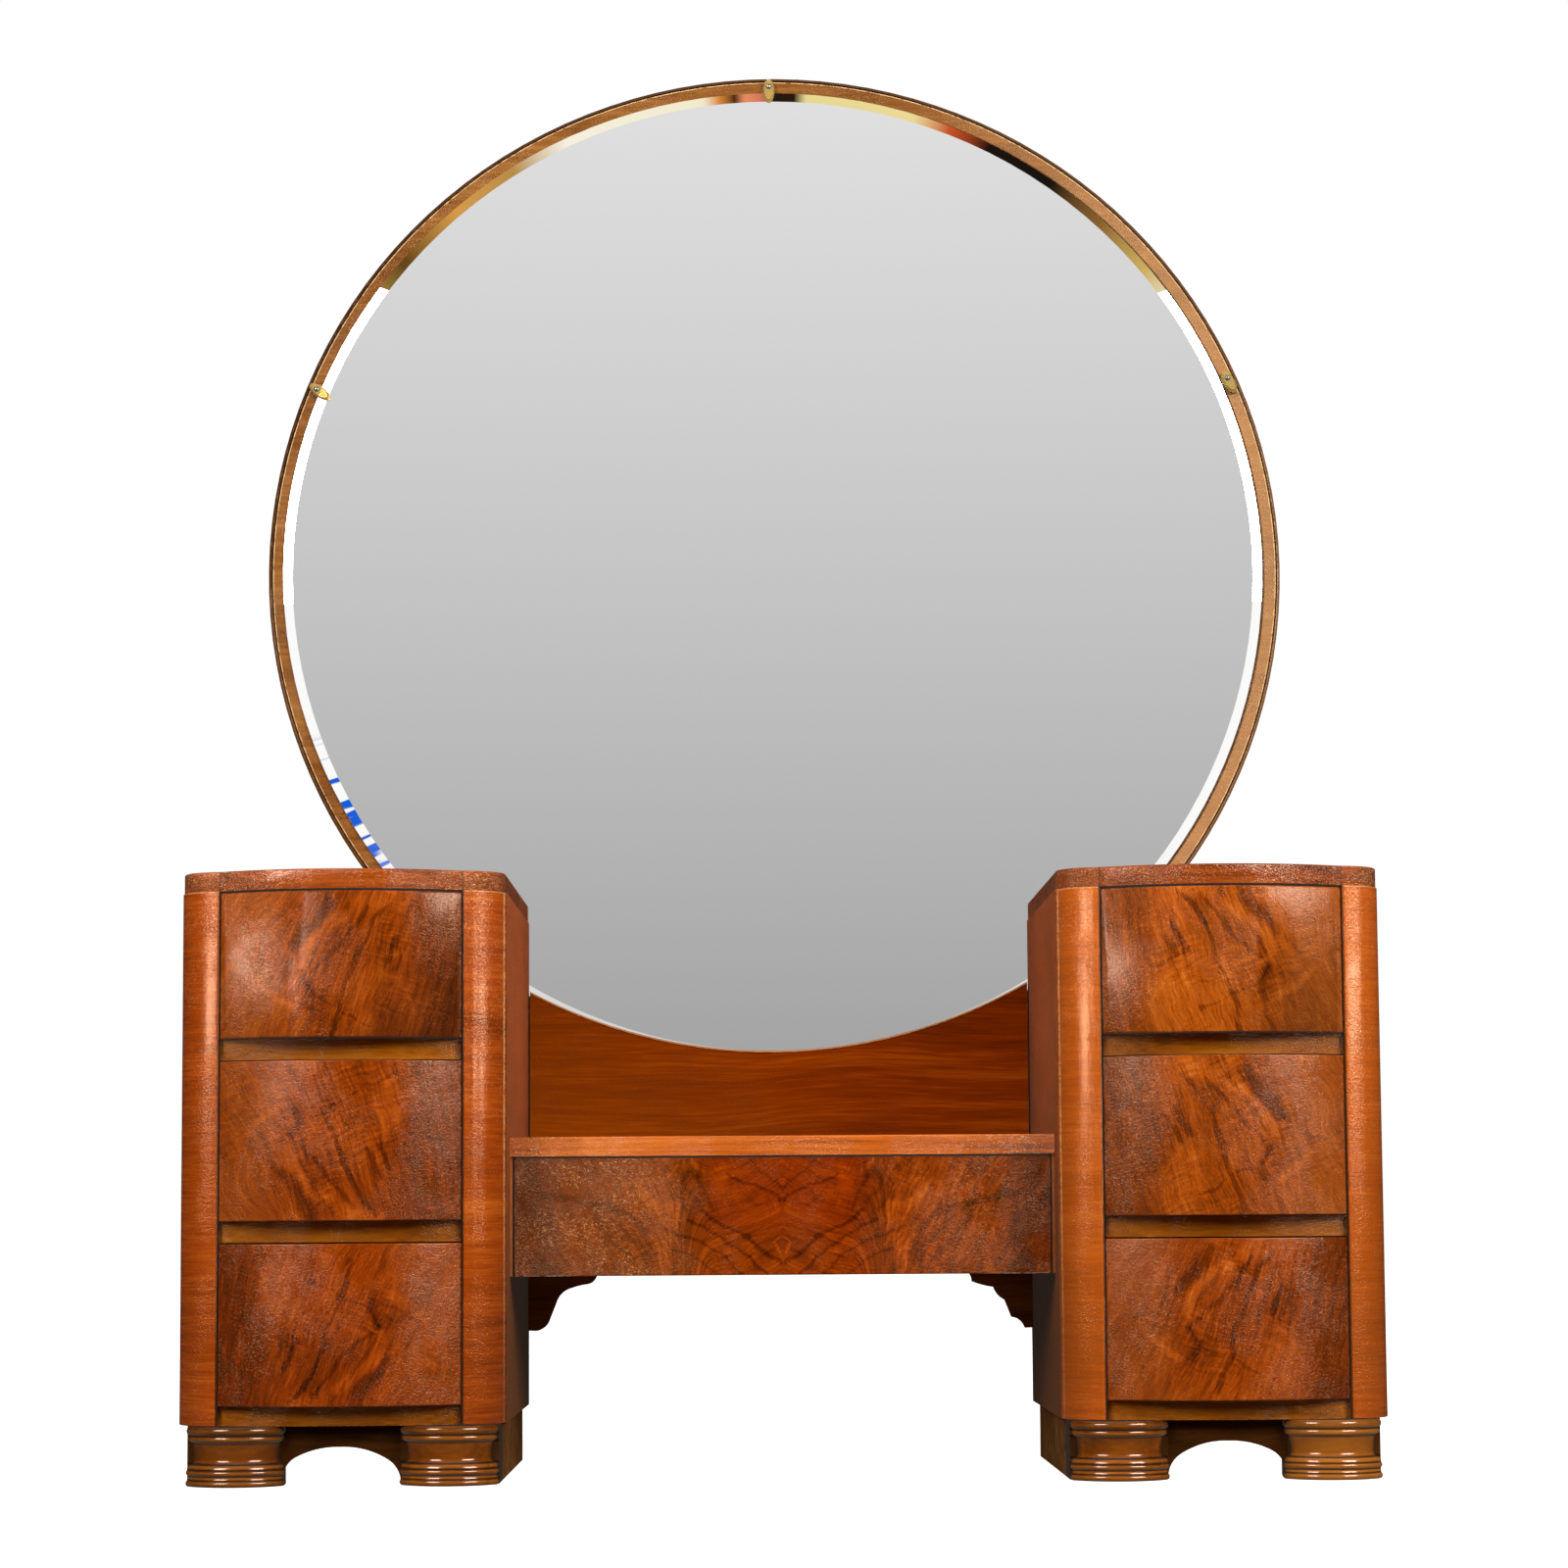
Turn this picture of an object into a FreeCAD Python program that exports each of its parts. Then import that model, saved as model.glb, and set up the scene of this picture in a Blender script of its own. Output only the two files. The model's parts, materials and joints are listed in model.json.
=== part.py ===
import FreeCAD, Part
import math
import os
import Sketcher

# A dressing table with a large round mirror: two bow-fronted pedestals of three drawers each,
# a low centre deck with one wide drawer, and a round bevelled mirror on a round wooden
# backboard that two notched uprights carry behind the case.
#
# Frame: millimetres, +Z up, the front faces -Y, +X to the right as seen from the front.
# The origin is on the floor, in the middle of the bounding box in plan. The posts' front
# tangent line is the building line: every y below is counted from it, and front_shift then
# puts the whole object so that the box is centred on the origin.

os.makedirs("parts", exist_ok=True)
doc = FreeCAD.newDocument("dressing_table")

# ---------------------------------------------------------------- driving dimensions
SIZES = [
    ("overall_width", 1220.0),
    ("half_gap", 280.0),            # centre line to a pedestal's inner side
    ("post_radius", 42.4),          # quarter-round front corners
    ("front_bow", 33.4),            # rise of the drawer fronts' bow
    ("case_depth", 430.0),          # from the building line to the case's back
    ("base_top", 59.3),             # height of the plinth
    ("case_top", 595.2),            # underside of the top board
    ("table_top", 615.2),
    ("top_inset", 1.2),             # the top board stands in from the posts
    ("panel", 16.0),                # side panels
    ("back_ply", 6.0),
    ("bottom_board", 12.0),
    ("front_gap", 0.9),             # between a drawer front and its post
    ("front_thick", 20.0),
    ("rail_setback", 9.0),          # finger room under each drawer front
    ("rail_bow", 19.0),             # the rails are flatter than the fronts, which overhang them most in the middle
    ("rail_short", 2.4),            # a rail stops short of the inner post
    ("upper_low", 445.8), ("upper_high", 592.8),
    ("middle_low", 262.9), ("middle_high", 422.8),
    ("lower_low", 79.2), ("lower_high", 240.0),
    ("rail_a_low", 424.5), ("rail_a_high", 445.0),
    ("rail_b_low", 241.5), ("rail_b_high", 262.3),
    ("rail_c_high", 78.6),
    ("side_clear", 1.0),            # drawer side behind the end of its front
    ("drawer_side", 12.0),
    ("drawer_ply", 4.0),
    ("drawer_end", 400.0),
    ("side_drop", 24.0),            # drawer sides are lower than the front
    ("runner_ledge", 10.0),
    ("runner_rise", 26.0),
    ("foot_width", 98.5),
    ("foot_rise", 28.0),            # bow of a foot
    ("foot_end", 2.0),
    ("foot_back", 58.0),
    ("plinth_inset", 12.5),
    ("plinth_inner", 5.7),
    ("plinth_back", 404.0), ("plinth_rail", 24.0),
    ("apron_front", 12.0), ("apron_back", 30.0),
    ("arch_top", 37.4),
    ("deck_low", 327.5), ("deck_high", 347.6),
    ("deck_front", 85.3),
    ("splash_front", 411.0),
    ("splash_half", 278.0),
    ("centre_low", 204.8), ("centre_high", 325.4),
    ("centre_face", 88.3),
    ("centre_half", 275.9),
    ("centre_thick", 18.0),
    ("strip", 2.7),
    ("cut_radius", 575.0), ("cut_height", 1024.7), ("cut_place", -7.3),
    ("mirror_height", 995.0),
    ("board_radius", 575.0), ("glass_radius", 555.8), ("bevel", 10.6),
    ("board_place", -1.1), ("glass_place", -3.0), ("glass_rise", 0.5),
    ("glass_front", 431.2), ("glass_back", 436.2),
    ("board_front", 436.3), ("board_back", 455.3),
    ("upright_place", 190.0), ("upright_width", 60.0), ("upright_back", 477.0),
    ("upright_foot", 225.0), ("upright_notch", 418.0), ("upright_top", 1400.0),
    ("screw_radius", 2.2), ("screw_head", 4.6), ("screw_length", 33.0),
    ("counterbore", 5.6),
    ("clip_screw_radius", 1.5), ("clip_screw_head", 3.1),
    ("front_shift", -221.8),        # moves the building line so that the box is centred
]

sheet = doc.addObject("Spreadsheet::Sheet", "Sizes")
VALUE = {}
for row, (alias, number) in enumerate(SIZES, start=1):
    sheet.set("A%d" % row, alias)
    sheet.set("B%d" % row, repr(number))
    sheet.setAlias("B%d" % row, alias)
    VALUE[alias] = number
doc.recompute()


class Size:
    """A length with the expression that ties it to the sheet."""

    def __init__(self, value, text):
        self.value = value
        self.text = text

    def __add__(self, other):
        other = size(other)
        return Size(self.value + other.value, "(%s + %s)" % (self.text, other.text))

    def __radd__(self, other):
        return size(other) + self

    def __sub__(self, other):
        other = size(other)
        return Size(self.value - other.value, "(%s - %s)" % (self.text, other.text))

    def __rsub__(self, other):
        return size(other) - self

    def __mul__(self, other):
        other = size(other)
        return Size(self.value * other.value, "(%s * %s)" % (self.text, other.text))

    def __rmul__(self, other):
        return size(other) * self

    def __truediv__(self, other):
        other = size(other)
        return Size(self.value / other.value, "(%s / %s)" % (self.text, other.text))

    def __neg__(self):
        return Size(-self.value, "(0 - %s)" % self.text)


def size(what):
    if isinstance(what, Size):
        return what
    if isinstance(what, str):
        return Size(VALUE[what], "Sizes.%s" % what)
    return Size(float(what), "%.6f" % float(what) if what >= 0 else "(0 - %.6f)" % -float(what))


def root(what):
    return Size(math.sqrt(what.value), "sqrt(%s)" % what.text)


def bow_radius(chord, rise):
    """Radius of the arc over a chord with the given rise."""
    half = chord / 2
    return (half * half + rise * rise) / (rise * 2)


S = size
SHIFT = S("front_shift")
NODES = []      # (node name, object)


def keep(label, thing):
    thing.Label = label
    NODES.append((label, thing))
    return thing


# ---------------------------------------------------------------- sketching helpers
def plane_of(body, role):
    for feature in body.Origin.OriginFeatures:
        if feature.Role == role:
            return feature
    raise ValueError(role)


def new_body(name, x=None, y=None, z=None):
    body = doc.addObject("PartDesign::Body", name)
    x = S(0) if x is None else size(x)
    y = SHIFT if y is None else size(y) + SHIFT
    z = S(0) if z is None else size(z)
    body.Placement = FreeCAD.Placement(FreeCAD.Vector(x.value, y.value, z.value), FreeCAD.Rotation())
    body.setExpression("Placement.Base.x", x.text)
    body.setExpression("Placement.Base.y", y.text)
    body.setExpression("Placement.Base.z", z.text)
    return body


def outline(body, name, role, points, bends=None, circles=()):
    """A closed outline of points (pairs of sizes). bends maps an edge's number to
    (radius, side): an arc that bulges to the left (+1) or right (-1) of its direction."""
    bends = bends or {}
    sketch = body.newObject("Sketcher::SketchObject", name)
    sketch.AttachmentSupport = [(plane_of(body, role), "")]
    sketch.MapMode = "FlatFace"
    points = [(size(a), size(b)) for a, b in points]
    count = len(points)
    vectors = [FreeCAD.Vector(a.value, b.value, 0) for a, b in points]
    first = sketch.GeometryCount
    ends = []       # (start position, end position) of each edge in travel order
    for i in range(count):
        p, q = vectors[i], vectors[(i + 1) % count]
        if i in bends:
            radius, side = bends[i]
            radius = size(radius)
            along = (q - p)
            half = along.Length / 2
            along.normalize()
            left = FreeCAD.Vector(-along.y, along.x, 0)
            rise = radius.value - math.sqrt(max(radius.value ** 2 - half ** 2, 0.0))
            middle = (p + q) / 2 + left * (rise * side)
            if side < 0:        # travelling counter-clockwise bulges to the right
                sketch.addGeometry(Part.Arc(p, middle, q), False)
                ends.append((1, 2))
            else:
                sketch.addGeometry(Part.Arc(q, middle, p), False)
                ends.append((2, 1))
        else:
            sketch.addGeometry(Part.LineSegment(p, q), False)
            ends.append((1, 2))
    for i in range(count):
        j = (i + 1) % count
        sketch.addConstraint(Sketcher.Constraint("Coincident", first + i, ends[i][1], first + j, ends[j][0]))
    for i, (a, b) in enumerate(points):
        n = sketch.addConstraint(Sketcher.Constraint("DistanceX", -1, 1, first + i, ends[i][0], a.value))
        sketch.setExpression("Constraints[%d]" % n, a.text)
        n = sketch.addConstraint(Sketcher.Constraint("DistanceY", -1, 1, first + i, ends[i][0], b.value))
        sketch.setExpression("Constraints[%d]" % n, b.text)
    for i in sorted(bends):
        radius = size(bends[i][0])
        n = sketch.addConstraint(Sketcher.Constraint("Radius", first + i, radius.value))
        sketch.setExpression("Constraints[%d]" % n, radius.text)
    for a, b, radius in circles:
        a, b, radius = size(a), size(b), size(radius)
        g = sketch.addGeometry(Part.Circle(FreeCAD.Vector(a.value, b.value, 0), FreeCAD.Vector(0, 0, 1), radius.value), False)
        n = sketch.addConstraint(Sketcher.Constraint("DistanceX", -1, 1, g, 3, a.value))
        sketch.setExpression("Constraints[%d]" % n, a.text)
        n = sketch.addConstraint(Sketcher.Constraint("DistanceY", -1, 1, g, 3, b.value))
        sketch.setExpression("Constraints[%d]" % n, b.text)
        n = sketch.addConstraint(Sketcher.Constraint("Radius", g, radius.value))
        sketch.setExpression("Constraints[%d]" % n, radius.text)
    return sketch


def pad(body, sketch, length, back=False):
    feature = body.newObject("PartDesign::Pad", sketch.Name + "_pad")
    feature.Profile = sketch
    length = size(length)
    feature.Length = length.value
    feature.setExpression("Length", length.text)
    feature.Reversed = back
    sketch.Visibility = False
    return feature


def soften(body, radius, wanted):
    """Round the edges of the body's solid that wanted picks, in the body's own frame."""
    doc.recompute()
    base = body.Tip
    names = []
    for number, edge in enumerate(base.Shape.Edges, start=1):
        spots = [edge.valueAt(edge.FirstParameter + (edge.LastParameter - edge.FirstParameter) * k / 4) for k in range(5)]
        if wanted(spots):
            names.append("Edge%d" % number)
    if not names:
        raise ValueError("no edge to round on " + body.Name)
    before = base.Shape.Volume
    feature = body.newObject("PartDesign::Fillet", body.Name + "_round%d" % len(body.Group))
    feature.Base = (base, names)
    radius = size(radius)
    feature.Radius = radius.value
    feature.setExpression("Radius", radius.text)
    doc.recompute()
    if abs(feature.Shape.Volume - before) < 1e-6:
        raise ValueError("nothing rounded on " + body.Name)
    return feature


def box(name, low, high):
    """A squared board between two corners (sizes), y counted from the building line."""
    x1, y1, z1 = [size(v) for v in low]
    x2, y2, z2 = [size(v) for v in high]
    y1, y2 = y1 + SHIFT, y2 + SHIFT
    board = doc.addObject("Part::Box", name)
    for prop, value in (("Length", x2 - x1), ("Width", y2 - y1), ("Height", z2 - z1)):
        setattr(board, prop, value.value)
        board.setExpression(prop, value.text)
    board.Placement = FreeCAD.Placement(FreeCAD.Vector(x1.value, y1.value, z1.value), FreeCAD.Rotation())
    board.setExpression("Placement.Base.x", x1.text)
    board.setExpression("Placement.Base.y", y1.text)
    board.setExpression("Placement.Base.z", z1.text)
    return board


def sided(side, inner, outer):
    """The low and high x of something from inner to outer on the side -1 or +1."""
    if side > 0:
        return size(inner), size(outer)
    return -size(outer), -size(inner)


def group(label, things):
    whole = doc.addObject("Part::Compound", label + "_group")
    whole.Links = things
    return keep(label, whole)


def cut(name, base, tool):
    result = doc.addObject("Part::Cut", name)
    result.Base = base
    result.Tool = tool
    return result


def mirror_points(side, points, bends=None):
    """The same outline on the other side: x changes sign and the travel is reversed, so
    that an arc keeps its bulge."""
    points = [(size(a), size(b)) for a, b in points]
    bends = bends or {}
    if side > 0:
        return points, bends
    count = len(points)
    flipped = [(-a, b) for a, b in reversed(points)]
    turned = {}
    for i, bend in bends.items():
        turned[(count - 2 - i) % count] = bend
    return flipped, turned


# ---------------------------------------------------------------- common sizes
W2 = S("overall_width") / 2
GAP = S("half_gap")
R = S("post_radius")
DEPTH = S("case_depth")
POST_IN = GAP + R                  # where the inner post meets the drawers
POST_OUT = W2 - R                  # where the outer post meets the drawers
BOW_R = bow_radius(POST_OUT - POST_IN, S("front_bow"))
BASE = S("base_top")
CASE = S("case_top")
PANEL = S("panel")
FRONT_IN = POST_IN + S("front_gap")
FRONT_OUT = POST_OUT - S("front_gap")
SIDE_IN = FRONT_IN + S("side_clear")
SIDE_OUT = FRONT_OUT - S("side_clear")
DS = S("drawer_side")
BACK_IN = DEPTH - S("back_ply")

LEVELS = [("upper", "upper_low", "upper_high"), ("middle", "middle_low", "middle_high"), ("lower", "lower_low", "lower_high")]

for word, side in (("left", -1), ("right", 1)):
    tag = word

    # ------------------------------------------------------------ top board
    # One board: quarter-round front corners, a bowed front between them, square at the back.
    inset = S("top_inset")
    corner = R - inset
    pts = [(POST_IN, inset), (POST_OUT, inset), (W2 - inset, R), (W2 - inset, DEPTH), (GAP + inset, DEPTH), (GAP + inset, R)]
    bends = {0: (BOW_R, -1), 1: (corner, -1), 5: (corner, -1)}
    p, b = mirror_points(side, pts, bends)
    body = new_body(tag + "_top", z="case_top")
    pad(body, outline(body, tag + "_top_plan", "XY_Plane", p, b), S("table_top") - CASE)
    soften(body, 2.0, lambda spots: all(abs(v.z - VALUE["table_top"] + VALUE["case_top"]) < 1e-6 for v in spots)
           and not all(abs(v.y - VALUE["case_depth"]) < 1e-6 for v in spots))
    keep(tag + "_top_board", body)

    # ------------------------------------------------------------ posts: quarter-round corners
    for name, pts, bends in (
        ("outer", [(POST_OUT, 0), (W2, R), (POST_OUT, R)], {0: (R, -1)}),
        ("inner", [(POST_IN, 0), (POST_IN, R), (GAP, R)], {2: (R, -1)}),
    ):
        p, b = mirror_points(side, pts, bends)
        body = new_body("%s_%s_post_body" % (tag, name), z="base_top")
        pad(body, outline(body, "%s_%s_post_plan" % (tag, name), "XY_Plane", p, b), CASE - BASE)
        keep("%s_%s_post" % (tag, name), body)

    # ------------------------------------------------------------ sides, back, bottom
    lo, hi = sided(side, W2 - PANEL, W2)
    keep(tag + "_outer_side", box(tag + "_outer_side_box", (lo, R, BASE), (hi, DEPTH, CASE)))
    lo, hi = sided(side, GAP, GAP + PANEL)
    keep(tag + "_inner_side", box(tag + "_inner_side_box", (lo, R, BASE), (hi, DEPTH, CASE)))
    lo, hi = sided(side, GAP + PANEL, W2 - PANEL)
    keep(tag + "_back_panel", box(tag + "_back_box", (lo, BACK_IN, BASE), (hi, DEPTH, CASE)))
    keep(tag + "_bottom_board", box(tag + "_bottom_box", (lo, R, BASE), (hi, BACK_IN, BASE + S("bottom_board"))))

    # ------------------------------------------------------------ finger rails under the drawers
    # Each follows the bow, set back to leave room for the fingers, and stops a little short
    # of the inner post.
    back = S("rail_setback")
    rail_in = POST_IN + S("rail_short")
    rail_r = bow_radius(POST_OUT - rail_in, S("rail_bow"))
    rails = []
    for letter, low, high in (("a", S("rail_a_low"), S("rail_a_high")), ("b", S("rail_b_low"), S("rail_b_high")), ("c", BASE, S("rail_c_high"))):
        pts = [(rail_in, back), (POST_OUT, back), (POST_OUT, R), (rail_in, R)]
        p, b = mirror_points(side, pts, {0: (rail_r, -1)})
        body = new_body("%s_rail_%s" % (tag, letter), z=low)
        pad(body, outline(body, "%s_rail_%s_plan" % (tag, letter), "XY_Plane", p, b), high - low)
        rails.append(body)
    group(tag + "_finger_rails", rails)

    # ------------------------------------------------------------ drawer runners
    # An L-shaped strip on each side of every drawer: it guides the drawer's side and carries it.
    runners = []
    for level, low, high in LEVELS:
        ledge = S(low) + 1.6
        under = ledge - S("runner_ledge") if level != "lower" else BASE + S("bottom_board")
        for edge, wall, guide, lip in (("inner", GAP + PANEL, SIDE_IN - 0.7, SIDE_IN + 9), ("outer", W2 - PANEL, SIDE_OUT + 0.7, SIDE_OUT - 9)):
            pts = [(wall, under), (lip, under), (lip, ledge), (guide, ledge), (guide, ledge + S("runner_rise")), (wall, ledge + S("runner_rise"))]
            if side < 0:
                pts = [(-size(a), c) for a, c in pts]
            body = new_body("%s_%s_%s_runner" % (tag, level, edge), y=BACK_IN)
            pad(body, outline(body, "%s_%s_%s_runner_end" % (tag, level, edge), "XZ_Plane", pts), BACK_IN - R)
            runners.append(body)
    group(tag + "_drawer_runners", runners)

    # ------------------------------------------------------------ drawers
    for level, low, high in LEVELS:
        name = "%s_%s_drawer" % (tag, level)
        zl, zh = S(low), S(high)
        thick = S("front_thick")
        flat = S(14)        # the front's back is flat at each end, where the sides meet it
        front_r = bow_radius(FRONT_OUT - FRONT_IN, S("front_bow"))
        inner_r = bow_radius(FRONT_OUT - FRONT_IN - flat * 2, S("front_bow"))
        pts = [(FRONT_IN, 0), (FRONT_OUT, 0), (FRONT_OUT, thick), (FRONT_OUT - flat, thick), (FRONT_IN + flat, thick), (FRONT_IN, thick)]
        p, b = mirror_points(side, pts, {0: (front_r, -1), 3: (inner_r, 1)})
        body = new_body(name + "_face", z=zl)
        pad(body, outline(body, name + "_face_plan", "XY_Plane", p, b), zh - zl)
        soften(body, 1.2, lambda spots: all(v.y < 0.01 for v in spots))
        keep(name + "_front", body)

        # sides and back of the box, with a groove for the bottom
        sl, sh = zl + 2.0, zh - S("side_drop")
        groove = S(8)
        ply = S("drawer_ply")
        boards = []
        for edge, near, far in (("inner", SIDE_IN, SIDE_IN + DS), ("outer", SIDE_OUT, SIDE_OUT - DS)):
            lo, hi = (near, far) if edge == "inner" else (far, near)
            lo2, hi2 = (far - 6, far) if edge == "inner" else (far, far + 6)
            lo, hi = sided(side, lo, hi)
            lo2, hi2 = sided(side, lo2, hi2)
            plank = box("%s_%s_plank" % (name, edge), (lo, thick, sl), (hi, "drawer_end", sh))
            slot = box("%s_%s_groove" % (name, edge), (lo2, thick - 1, sl + groove), (hi2, S("drawer_end") + 1, sl + groove + ply))
            boards.append(cut("%s_%s_side" % (name, edge), plank, slot))
        lo, hi = sided(side, SIDE_IN + DS, SIDE_OUT - DS)
        boards.append(box(name + "_end", (lo, S("drawer_end") - DS, sl + groove + ply), (hi, "drawer_end", sh)))
        group(name + "_box", boards)

        pts = [(SIDE_IN + DS - 6, thick), (FRONT_IN + flat, thick), (FRONT_OUT - flat, thick), (SIDE_OUT - DS + 6, thick), (SIDE_OUT - DS + 6, "drawer_end"), (SIDE_IN + DS - 6, "drawer_end")]
        p, b = mirror_points(side, pts, {1: (inner_r, -1)})
        body = new_body(name + "_floor", z=sl + groove)
        pad(body, outline(body, name + "_floor_plan", "XY_Plane", p, b), ply)
        keep(name + "_bottom", body)

    ARCH_IN = 5.5

    # ------------------------------------------------------------ feet
    # A foot's face is a moulding: two beads, a deep cove with a tight curve at its base, and two
    # half-round reeds with a quarter-round over each. It is turned about the centre of the
    # foot's bow in front and returns a little way along both sides, to a square block behind.
    width = S("foot_width")
    rise = S("foot_rise")
    foot_r = bow_radius(width, rise)
    top = BASE
    moulding = [(-1.6, 0), (-1.3, 6.2), (-1.1, 6.5), (-2.7, 10.0), (-2.5, 10.6), (-1.3, 16.2), (-1.0, 16.6), (-3.6, 21.7),
                (-8.2, 27.0), (-6.4, 43.2), (-4.6, 43.8), (-3.0, 49.6), (-2.8, 50.9), (-3.4, top)]
    curves = {0: (3.6, -1), 2: (4.5, -1), 4: (3.1, -1), 6: (6.0, -1), 7: (5.4, 1), 8: (70.0, 1), 10: (3.6, -1), 12: (4.6, -1)}
    for name, low_x in (("outer", W2 - S("plinth_inset") - width), ("inner", GAP + S("plinth_inner"))):
        middle = low_x + width / 2
        if side < 0:
            middle = -middle
        centre_y = S("foot_end") - rise + foot_r
        turned = new_body("%s_%s_foot_turning" % (tag, name), x=middle, y=centre_y)
        pts = [(0, 0)] + [(foot_r + a, b) for a, b in moulding] + [(0, top)]
        arcs = {i + 1: (S(r), k) for i, (r, k) in curves.items()}
        sketch = outline(turned, "%s_%s_foot_profile" % (tag, name), "XZ_Plane", pts, arcs)
        turn = turned.newObject("PartDesign::Revolution", "%s_%s_foot_turn" % (tag, name))
        turn.Profile = sketch
        turn.ReferenceAxis = (sketch, ["V_Axis"])
        turn.Angle = 360.0
        slab = new_body("%s_%s_foot_slab" % (tag, name), x=middle, y=S(12))
        pts = [(width / 2 + a, b) for a, b in moulding] + [(-(width / 2 + a), b) for a, b in reversed(moulding)]
        arcs = {i: (S(r), k) for i, (r, k) in curves.items()}
        last = len(moulding) * 2 - 2
        arcs.update({last - i: (S(r), k) for i, (r, k) in curves.items()})
        pad(slab, outline(slab, "%s_%s_foot_ends" % (tag, name), "XZ_Plane", pts, arcs), 72)
        face = doc.addObject("Part::Common", "%s_%s_foot_face" % (tag, name))
        face.Base = turned
        face.Tool = slab
        lo, hi = (middle - width / 2, middle + width / 2)
        if name == "outer":                     # narrower towards the arch, which springs from the moulding's edge
            lo, hi = (lo, hi - ARCH_IN) if side < 0 else (lo + ARCH_IN, hi)
        block = box("%s_%s_foot_block" % (tag, name), (lo, 11, 0), (hi, S("foot_back"), top))
        foot = doc.addObject("Part::Fuse", "%s_%s_foot_whole" % (tag, name))
        foot.Base = face
        foot.Tool = block
        foot.Refine = True
        keep("%s_%s_foot" % (tag, name), foot)

    # ------------------------------------------------------------ apron between the feet
    a_in = GAP + S("plinth_inner") + width
    a_out = W2 - S("plinth_inset") - width + ARCH_IN
    half = (a_out - a_in) / 2
    mid = (a_out + a_in) / 2
    pts = [(a_in, 3), (a_in + 12.5, 24.5), (mid, "arch_top"), (a_out - 12.5, 26), (a_out, 3), (a_out, BASE), (a_in, BASE)]
    arcs = {0: (S(26.8), 1), 1: (S(83.7), 1), 2: (S(92.8), 1), 3: (S(24.8), 1)}
    if side < 0:
        p, b = mirror_points(side, pts, arcs)
    else:
        p, b = pts, arcs
    body = new_body(tag + "_apron_body", y="apron_back")
    pad(body, outline(body, tag + "_apron_face", "XZ_Plane", p, b), S("apron_back") - S("apron_front"))
    keep(tag + "_apron", body)

    # ------------------------------------------------------------ plinth sides and back
    # The back is a rail that stops short of the floor, so that the arch is open right through.
    o_lo, o_hi = sided(side, W2 - S("plinth_inset") - PANEL, W2 - S("plinth_inset"))
    i_lo, i_hi = sided(side, GAP + S("plinth_inner"), GAP + S("plinth_inner") + PANEL)
    group(tag + "_plinth_sides", [
        box(tag + "_plinth_outer", (o_lo, "foot_back", 0), (o_hi, "plinth_back", BASE)),
        box(tag + "_plinth_inner_side", (i_lo, "foot_back", 0), (i_hi, "plinth_back", BASE)),
    ])
    b_lo, b_hi = sided(side, GAP + S("plinth_inner") + PANEL, W2 - S("plinth_inset") - PANEL)
    keep(tag + "_plinth_back", box(tag + "_plinth_back_box", (b_lo, S("plinth_back") - PANEL, "plinth_rail"), (b_hi, "plinth_back", BASE)))

# ---------------------------------------------------------------- centre deck
deck = new_body("deck", y="splash_front")
pad(deck, outline(deck, "deck_section", "XZ_Plane", [(-GAP, "deck_low"), (GAP, "deck_low"), (GAP, "deck_high"), (-GAP, "deck_high")]), S("splash_front") - S("deck_front"))
soften(deck, 2.0, lambda spots: all(v.y < VALUE["deck_front"] - VALUE["splash_front"] + 1e-6 and v.z > VALUE["deck_high"] - 1e-6 for v in spots))
keep("centre_deck", deck)

# ---------------------------------------------------------------- centre drawer
CH = S("centre_half")
CY = S("centre_face")
CT = CY + S("centre_thick")
CLOW, CHIGH = S("centre_low"), S("centre_high")
face = new_body("centre_face_board", y=CT)
pad(face, outline(face, "centre_face_outline", "XZ_Plane", [(-CH, CLOW), (CH, CLOW), (CH, CHIGH), (-CH, CHIGH)]), S("centre_thick"))
soften(face, 1.2, lambda spots: all(v.y < -VALUE["centre_thick"] + 1e-6 for v in spots))
keep("centre_drawer_front", face)
csl, csh = CLOW + 9.6, CHIGH - S("side_drop")
groove = S(8)
ply = S("drawer_ply")
boards = []
for edge, side in (("left", -1), ("right", 1)):
    lo, hi = sided(side, CH - 1 - DS, CH - 1)
    lo2, hi2 = sided(side, CH - 1 - DS, CH - 1 - DS + 6)
    plank = box("centre_%s_plank" % edge, (lo, CT, csl), (hi, "drawer_end", csh))
    slot = box("centre_%s_groove" % edge, (lo2, CT - 1, csl + groove), (hi2, S("drawer_end") + 1, csl + groove + ply))
    boards.append(cut("centre_%s_drawer_side" % edge, plank, slot))
boards.append(box("centre_drawer_end", (-(CH - 1 - DS), S("drawer_end") - DS, csl + groove + ply), (CH - 1 - DS, "drawer_end", csh)))
group("centre_drawer_box", boards)
keep("centre_drawer_bottom", box("centre_drawer_floor", (-(CH - 1 - DS + 6), CT, csl + groove), (CH - 1 - DS + 6, "drawer_end", csl + groove + ply)))

# A thin strip on each pedestal's side, whose front edge shows beside the drawer, with a ledge
# behind the drawer front that carries the drawer.
guides = []
for edge, side in (("left", -1), ("right", 1)):
    lo, hi = sided(side, GAP - S("strip"), GAP)
    strip = box("centre_%s_strip" % edge, (lo, CY, CLOW), (hi, "splash_front", "deck_low"))
    lo, hi = sided(side, GAP - 16, GAP)
    ledge = box("centre_%s_ledge" % edge, (lo, CT + 1.5, CLOW + 0.4), (hi, "splash_front", csl - 0.4))
    both = doc.addObject("Part::Fuse", "centre_%s_guide" % edge)
    both.Base = strip
    both.Tool = ledge
    guides.append(both)
group("centre_drawer_guides", guides)

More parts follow.
